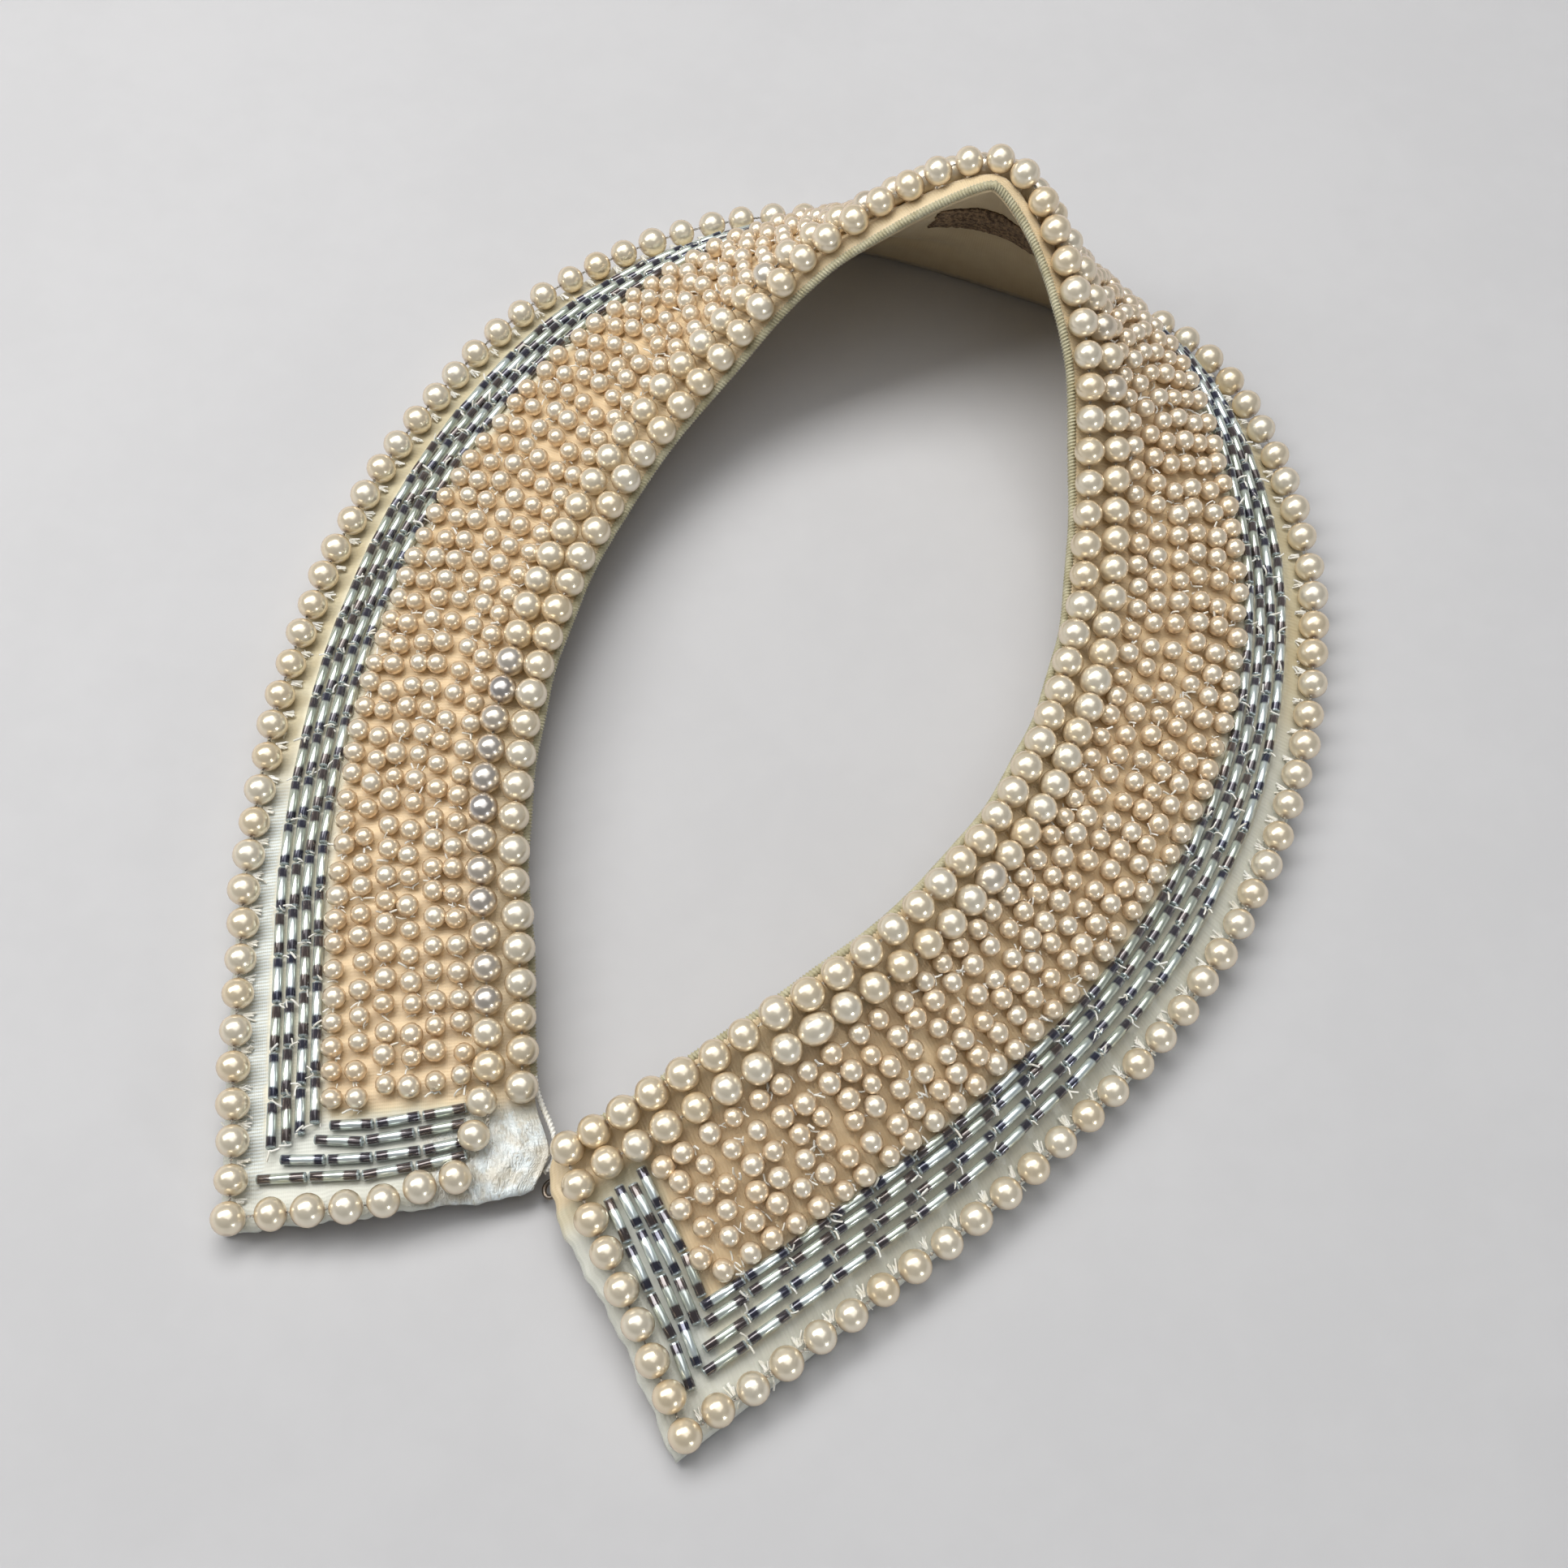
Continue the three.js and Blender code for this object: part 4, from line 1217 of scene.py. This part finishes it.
edging = {
    "across": -1.05, "level": -3.2, "rightGap": 0.6, "leftGap": 14.6,
    "wave": (0.14, 3.3, 1.4, 17.0),  # reach, length, and how much and over what length it shifts
    "curl": (166.0, 0.9, 6.0),  # where it strays furthest, how far, how long
}
lengths = lineLengths(0.0)
distance = np.linspace(edging["rightGap"], lengths[-1] - edging["leftGap"], 460)
reach, length, shift, shiftLength = edging["wave"]
wave = reach * np.sin(distance / length + shift * np.sin(distance / shiftLength))
middle, reach, length = edging["curl"]
wave = wave + reach * np.exp(-((distance - middle) / length) ** 2)
edgeT = np.interp(distance, lengths, lineStops)
edgeRun = onBand(edgeT, edging["across"] - wave,
                 edging["level"] + 0.25 * wave - neckRoll["edging"] * rollAt(edgeT))[0]
neckEdging = settle(cordPiece("neck_binding", [edgeRun], {
    "Radius": 0.78, "Lobes": 0.28, "Turn Length": 1.05, "Step": 0.17, "Sides": 10,
    "Material": edgingCotton}), "edging", "neck_edging")

# the loop leaves the edging, bows out past the bare corner and is sewn back under it:
# distance from the left end, across, lift
loopKnots = np.array([
    (17.0, -1.3, -3.0), (15.0, -1.6, -2.95), (12.9, -2.25, -3.0), (10.8, -3.1, -3.1),
    (8.6, -3.8, -3.3), (6.7, -4.0, -3.5), (5.3, -3.75, -3.75), (4.3, -3.2, -4.0),
    (3.6, -2.3, -4.2),
])
knots = onBand(np.interp(lengths[-1] - loopKnots[:, 0], lengths, lineStops), loopKnots[:, 1],
               loopKnots[:, 2])[0]
loopRun = curveThrough(knots, np.linspace(0, 1, 90))[0]
settle(cordPiece("thread_loop", [loopRun], {
    "Radius": 0.46, "Lobes": 0.3, "Turn Length": 1.2, "Step": 0.2, "Sides": 8,
    "Material": whiteThread}), "thread", "closing_loop")


def rowThread(across, fromRight, fromLeft):
    lengths = lineLengths(across)
    distance = np.linspace(fromRight, lengths[-1] - fromLeft, 420)
    return onBand(np.interp(distance, lengths, lineStops), across, largePearls["sink"])[0]


# across, from the right end, from the left end
threadRows = ((0.0, 0.5, 14.5), (largePearls["secondAcross"], 5.0, 9.0), (band["width"], 0.0, 0.0))
# along the end rows: t, from and to across, points
threadEnds = ((0.0, 0.5, 39.0, 40), (1.0, 39.0, 20.0, 20))
runs = [rowThread(*row) for row in threadRows]
runs += [onBand(t, np.linspace(near, far, count), largePearls["sink"])[0]
         for t, near, far, count in threadEnds]
settle(cordPiece("row_threads", runs, {
    "Radius": 0.26, "Lobes": 0.25, "Turn Length": 1.1, "Step": 0.55, "Sides": 6,
    "Material": rowCotton}), "thread")


def buildTuftTree():
    # short curved ends of thread that stand off the cloth, each its own way
    tree, given, out = openGroup("threadTufts", "GeometryNodeTree", [
        ("Points", "Geometry", None),
        ("Length", "Float", 0.0013),
        ("Thickness", "Float", 0.00012),
        ("Rise", "Float", 0.6),
        ("Fan", "Float", 3.14),
        ("Seed", "Int", 1),
        ("Material", "Material", None),
    ], [("Tufts", "Geometry")])
    reach = times(tree, given["Length"], given["Rise"])
    back, tilt = (times(tree, given["Fan"], share) for share in (-1.0, 0.16))
    down = times(tree, tilt, -1.0)
    middle = place(tree, "ShaderNodeCombineXYZ", {0: reach, 1: 0.0, 2: 0.0}).outputs[0]
    far = place(tree, "ShaderNodeCombineXYZ", {0: reach, 1: 0.0, 2: given["Length"]}).outputs[0]
    arc = place(tree, "GeometryNodeCurveQuadraticBezier", {
        "Resolution": 4, "Start": (0.0, 0.0, 0.0), "Middle": middle, "End": far})
    ring = place(tree, "GeometryNodeCurvePrimitiveCircle", {
        "Resolution": 4, "Radius": given["Thickness"]}, mode="RADIUS")
    wisp = place(tree, "GeometryNodeCurveToMesh", {
        "Curve": arc.outputs[0], "Profile Curve": ring.outputs[0], "Fill Caps": True})
    turn = place(tree, "ShaderNodeCombineXYZ", {
        0: randomNumber(tree, back, given["Fan"], given["Seed"], 1),
        1: randomNumber(tree, down, tilt, given["Seed"], 2),
        2: randomNumber(tree, -0.8, 0.8, given["Seed"], 3)}).outputs[0]
    spin = place(tree, "FunctionNodeEulerToRotation", {0: turn}).outputs[0]
    rotation = place(tree, "FunctionNodeRotateRotation", {
        0: facingRotation(tree), 1: spin}, rotation_space="LOCAL").outputs[0]
    size = randomNumber(tree, 0.5, 1.25, given["Seed"], 4)
    wisps = place(tree, "GeometryNodeInstanceOnPoints", {
        "Points": given["Points"], "Instance": wisp.outputs[0], "Rotation": rotation,
        "Scale": place(tree, "ShaderNodeCombineXYZ", {0: size, 1: size, 2: size}).outputs[0]})
    tone = randomNumber(tree, 0.0, 1.0, given["Seed"], 5)
    finishTree(tree, out, wisps.outputs[0], tone, given["Material"])
    return tree


threadTufts = buildTuftTree()
tufts = {
    "length": 1.25, "thick": 0.14,
    "share": 0.75,  # of the small pearls that have stitches beside them
    "ahead": 0.75,  # of those that have them on the side towards the left end
    "strands": 3,
    "reach": (1.35, 1.8), "aside": 0.6,  # from the pearl's centre, along and across the band
    "outer": 240,  # loose ones near the right end; a third as many near the left end
    "outerAcross": (38.6, 41.2), "outerRight": (1, 150), "outerLeft": (90, 3),
    "jointAcross": (-0.9, 0.5),
    "fanLength": 1.5, "fanStrands": 9, "fanAside": 0.35,
    "seed": 67,
}
dice = np.random.default_rng(tufts["seed"])
# beside the small pearls
kept = np.flatnonzero(dice.random(len(fieldT)) < tufts["share"])
side = np.where(dice.random(len(kept)) < tufts["ahead"], 1, -1)
kept, side = np.repeat(kept, tufts["strands"]), np.repeat(side, tufts["strands"])
stitchSpot, stitchAlong, stitchNormal, ruling = onBand(
    fieldT[kept], fieldAcross[kept], band["satinTop"] + 0.75)
reach = dice.uniform(*tufts["reach"], len(side)) * side
aside = wobble(len(side), tufts["aside"])
stitchSpot = stitchSpot + stitchAlong * reach[:, None] + ruling * aside[:, None]
# loose ones along the outer edge
far, near = tufts["outerLeft"]
edgeS = np.concatenate([dice.uniform(*tufts["outerRight"], tufts["outer"]),
                        dice.uniform(bandLength - far, bandLength - near, tufts["outer"] // 3)])
edgeSpot, edgeAlong, edgeNormal, _ = onBand(
    np.interp(edgeS, middleLengths, lineStops), dice.uniform(*tufts["outerAcross"], len(edgeS)),
    band["satinTop"] + 0.02)
# over the joints between bugles
jointT, jointAcross = np.repeat(np.vstack(joints), 2, axis=0).T
jointAcross = jointAcross + dice.uniform(*tufts["jointAcross"], len(jointT))
jointSpot, _, jointNormal, jointWay = onBand(jointT, jointAcross, bugleLift + 0.1)
cloud = pointCloud("tuftPoints", np.vstack([stitchSpot, edgeSpot, jointSpot]), vectors={
    "thread": np.vstack([stitchAlong, edgeAlong, jointWay]),
    "faceUp": np.vstack([stitchNormal, edgeNormal, jointNormal])})
settle(runTree(cloud, threadTufts, {
    "Length": tufts["length"] * mm, "Thickness": tufts["thick"] * mm, "Seed": 71,
    "Material": whiteThread}, "thread_stitches"), "thread")
# the stitches that hold the outer row fan in from between the pearls
lengths = lineLengths(band["width"])
pitch = lengths[-1] / (largePearls["outerCount"] - 1)
gapT = np.interp((np.arange(largePearls["outerCount"] - 1) + 0.5) * pitch, lengths, lineStops)
gapT = np.repeat(gapT, tufts["fanStrands"])
fanSpot, fanAlong, fanNormal, fanWay = onBand(gapT, band["width"] - 0.5, band["satinTop"] + 0.9)
fanSpot = fanSpot + fanAlong * wobble(len(gapT), tufts["fanAside"])[:, None]
cloud = pointCloud("fanPoints", fanSpot, vectors={
    "thread": unit(-fanWay - 0.28 * fanNormal), "faceUp": fanNormal})
settle(runTree(cloud, threadTufts, {
    "Length": tufts["fanLength"] * mm, "Thickness": tufts["thick"] * mm, "Rise": 0.08,
    "Fan": 0.42, "Seed": 79, "Material": whiteThread}, "outer_row_stitches"), "thread")
print("threads laid")


# hook and patch

def hookMaterial():
    material, tree, shader = newMaterial("darkSteel", Metallic=1.0, Coat_Weight=0.1)
    mottle = groupNode(tree, softMottle, {
        "Place": objectPlace(tree), "Colour": (0.16, 0.15, 0.14, 1),
        "Patches": (0.30, 0.22, 0.15, 1), "Scale": 700.0, "Amount": 0.8})
    tree.links.new(mottle.outputs["Colour"], shader.inputs["Base Color"])
    rough = timesPlus(tree, mottle.outputs["Mask"], 0.3, 0.3)
    tree.links.new(rough, shader.inputs["Roughness"])
    return material


def patchMaterial():
    material, tree, shader = newMaterial("brownPatch", Roughness=0.9)
    lie = place(tree, "ShaderNodeUVMap", uv_map="lie").outputs[0]
    weave = groupNode(tree, clothRibs, {
        "Lie": lie, "Rib Pitch": 0.6, "Cross Pitch": 0.6, "Waver": 0.5})
    mottle = groupNode(tree, softMottle, {
        "Place": objectPlace(tree), "Colour": (0.05, 0.026, 0.012, 1),
        "Patches": (0.40, 0.27, 0.15, 1), "Scale": 1500.0, "Amount": 0.7})
    tree.links.new(mottle.outputs["Colour"], shader.inputs["Base Color"])
    bumpInto(tree, shader, weave.outputs["Height"], 0.00012, 0.7)
    return material


darkSteel = hookMaterial()
brownPatch = patchMaterial()

hook = {
    "across": 2.6, "lift": -5.65, "gauge": 0.34,
    "width": 1.0, "outside": 6.8,  # the nose: half its width, how far it reaches out
    "eye": 0.7, "inside": 3.8,  # the eyes: radius, how far in from the end
    "legFrom": 1.2,  # the wires start this far out from the eyes' middles
}


def hookPath():
    # beyond the end and across: two eyes inside, two wires out to a rounded nose
    wide, eye, inside = hook["width"], hook["eye"], hook["inside"]
    neck = hook["outside"] - wide
    path = [(-inside + eye * math.cos(turn), -wide - eye - eye * math.sin(turn))
            for turn in np.linspace(0.6, 2 * math.pi - 0.2, 16)]
    path += [(-inside + hook["legFrom"], -wide), (neck, -wide)]
    path += [(neck + wide * math.cos(turn), wide * math.sin(turn))
             for turn in np.linspace(-math.pi / 2, math.pi / 2, 14)]
    path += [(neck, wide), (-inside + hook["legFrom"], wide)]
    path += [(-inside + eye * math.cos(turn), wide + eye - eye * math.sin(turn))
             for turn in np.linspace(0.2, 2 * math.pi - 0.6, 16)]
    return np.array(path).T


beyond, aside = hookPath()
settle(cordPiece("hook_wire", [onBand(0.0, hook["across"] + aside, hook["lift"], -beyond)[0]], {
    "Radius": hook["gauge"], "Lobes": 0.0, "Turn Length": 900.0, "Step": 0.22, "Sides": 10,
    "Material": darkSteel}), "hook", "closing_hook")

patch = {
    "from": 0.452, "to": 0.528,  # as t
    "near": 10.8, "far": 20.2,  # across
    "thick": 0.45, "ragged": 0.4, "columns": 64, "ranks": 26,
    "seed": 73,
}


def patchPiece():
    dice = np.random.default_rng(patch["seed"])
    columns, ranks = patch["columns"], patch["ranks"]
    t, across = np.meshgrid(np.linspace(patch["from"], patch["to"], columns),
                            np.linspace(patch["near"], patch["far"], ranks), indexing="ij")
    run = (t - patch["from"]) / (patch["to"] - patch["from"])
    share = (across - patch["near"]) / (patch["far"] - patch["near"])
    # ragged edges, most along the far side
    nearFray, farFray = (0.6 * dice.standard_normal(columns)[:, None] for _ in range(2))
    across = across + patch["ragged"] * (0.6 * nearFray * (1 - share) ** 6
                                         + 1.7 * farFray * share ** 6)
    startFray, endFray = (0.0004 * dice.standard_normal(ranks)[None, :] for _ in range(2))
    t = t + startFray * (1 - run) ** 8 + endFray * run ** 8
    s = np.interp(t, lineStops, middleLengths)
    level = band["liningUnder"] + liningFold(s, across)
    # thin along the rim, full thickness inside
    inside = np.minimum(np.minimum(run, 1 - run) * 25, np.minimum(share, 1 - share) * 9)
    puff = np.clip(inside, 0, 1) ** 0.5
    inner = onBand(t, across, level - 0.02)[0]
    outer = onBand(t, across, level - 0.1 - patch["thick"] * (0.4 + 0.6 * puff))[0]
    # a closed flat bag: the outer net, then the inner one, joined round the rim
    number = np.arange(columns * ranks).reshape(columns, ranks)
    shift = columns * ranks
    faces = []
    for net, flip in ((number, False), (number + shift, True)):
        quads = np.stack([net[:-1, :-1], net[1:, :-1], net[1:, 1:], net[:-1, 1:]], axis=-1)
        quads = quads.reshape(-1, 4)
        faces += (quads[:, ::-1] if flip else quads).tolist()
    ring = np.concatenate([number[:, 0], number[-1, 1:], number[-2::-1, -1], number[0, -2:0:-1]])
    faces += np.stack([np.roll(ring, -1), ring, ring + shift, np.roll(ring, -1) + shift],
                      axis=-1).tolist()
    points = np.concatenate([outer.reshape(-1, 3), inner.reshape(-1, 3)])
    uv = np.tile(np.stack([s, across], axis=-1).reshape(-1, 2) / mapUnit, (2, 1))
    return faceOut(makeMesh("lining_patch", points, faces, brownPatch, uv))


liningPatch = settle(patchPiece(), "label", "lining_label")
print("hook and patch made")


# table, light and camera

stage = {
    "size": 30000.0,  # mm
    "colours": ((0.56, 0.56, 0.57, 1), (0.53, 0.53, 0.54, 1)),
    "glow": (0.45, 0.45, 0.46, 1),  # of the far floor, so that it stays pale all the way out
    "glowFrom": 0.25, "glowTo": 0.95,  # metres from the middle
    "horizon": (0.58, 0.58, 0.59, 1), "overhead": (0.125, 0.128, 0.135, 1),
}


def stageMaterial():
    material, tree, shader = newMaterial("paleTable", Roughness=1.0, Specular_IOR_Level=0.1,
                                         Emission_Strength=1.0)
    pale, shade = stage["colours"]
    mottle = groupNode(tree, softMottle, {
        "Place": objectPlace(tree), "Colour": pale, "Patches": shade, "Scale": 30.0,
        "Amount": 0.5})
    tree.links.new(mottle.outputs["Colour"], shader.inputs["Base Color"])
    away = place(tree, "ShaderNodeVectorMath", {0: objectPlace(tree)}, operation="LENGTH")
    far = smoothRange(tree, away.outputs["Value"], stage["glowFrom"], stage["glowTo"])
    tree.links.new(mixColours(tree, far, (0, 0, 0, 1), stage["glow"]),
                   shader.inputs["Emission Color"])
    return material


half = stage["size"] / 2
floor = makeMesh("table_top", [(-half, -half, 0), (half, -half, 0), (half, half, 0),
                               (-half, half, 0)], [(0, 1, 2, 3)], stageMaterial(), smooth=False)

# place and aim in metres, turn in degrees, width, height, watts, spread in degrees, colour
lamps = {
    "keySoftbox": ((-0.30, 0.17, 0.66), (0, 0, 0), -35, 1.0, 0.33, 5.9, 180, (1.0, 0.985, 0.96)),
    "lowWindow": ((0.48, -0.62, 0.20), (0, 0, 0.01), 0, 0.14, 0.14, 0.075, 50, (0.94, 0.97, 1.0)),
    "topSheet": ((0.05, 0.10, 0.95), (0, 0, 0), 0, 0.90, 0.90, 3.3, 180, (1.0, 1.0, 1.0)),
}
for name, (spot, aim, turn, wide, high, watts, spread, colour) in lamps.items():
    data = bpy.data.lights.new(name, "AREA")
    data.shape, data.size, data.size_y = "RECTANGLE", wide, high
    data.energy, data.color, data.spread = watts, colour, math.radians(spread)
    lamp = bpy.data.objects.new(name, data)
    bpy.context.collection.objects.link(lamp)
    lamp.location = spot
    facing = (Vector(aim) - Vector(spot)).to_track_quat("-Z", "Y")
    lamp.rotation_euler = (facing @ Quaternion((0, 0, 1), math.radians(turn))).to_euler()

# pale at the horizon, dimmer overhead
world = bpy.data.worlds.new("softRoom")
world.use_nodes = True
air = world.node_tree
outward = place(air, "ShaderNodeTexCoord").outputs["Generated"]
height = place(air, "ShaderNodeSeparateXYZ", {0: outward}).outputs[2]
sky = mixColours(air, smoothRange(air, height, 0.0, 0.3), stage["horizon"], stage["overhead"])
air.links.new(sky, air.nodes["Background"].inputs[0])
bpy.context.scene.world = world

view = {
    "spot": (-2.155, -155.69, 297.31),
    "tilt": 63.006,     # degrees down from level, looking along +Y
    "roll": -3.005,
    "lens": 50.31,
    "sensor": 36.0,
}
tilt, roll = math.radians(view["tilt"]), math.radians(view["roll"])
levelRight = Vector((1, 0, 0))
levelUp = Vector((0, math.sin(tilt), math.cos(tilt)))
onward = Vector((0, math.cos(tilt), -math.sin(tilt)))
right = levelRight * math.cos(roll) - levelUp * math.sin(roll)
up = levelRight * math.sin(roll) + levelUp * math.cos(roll)
cameraData = bpy.data.cameras.new("view")
cameraData.lens, cameraData.sensor_width = view["lens"], view["sensor"]
cameraData.clip_start, cameraData.clip_end = 0.01, 20.0
camera = bpy.data.objects.new("view", cameraData)
bpy.context.collection.objects.link(camera)
axes = Matrix((right, up, -onward)).transposed()
camera.matrix_world = Matrix.Translation(Vector(view["spot"]) * mm) @ axes.to_4x4()
bpy.context.scene.camera = camera
bpy.context.scene.view_settings.view_transform = "Standard"

print("scene ready")
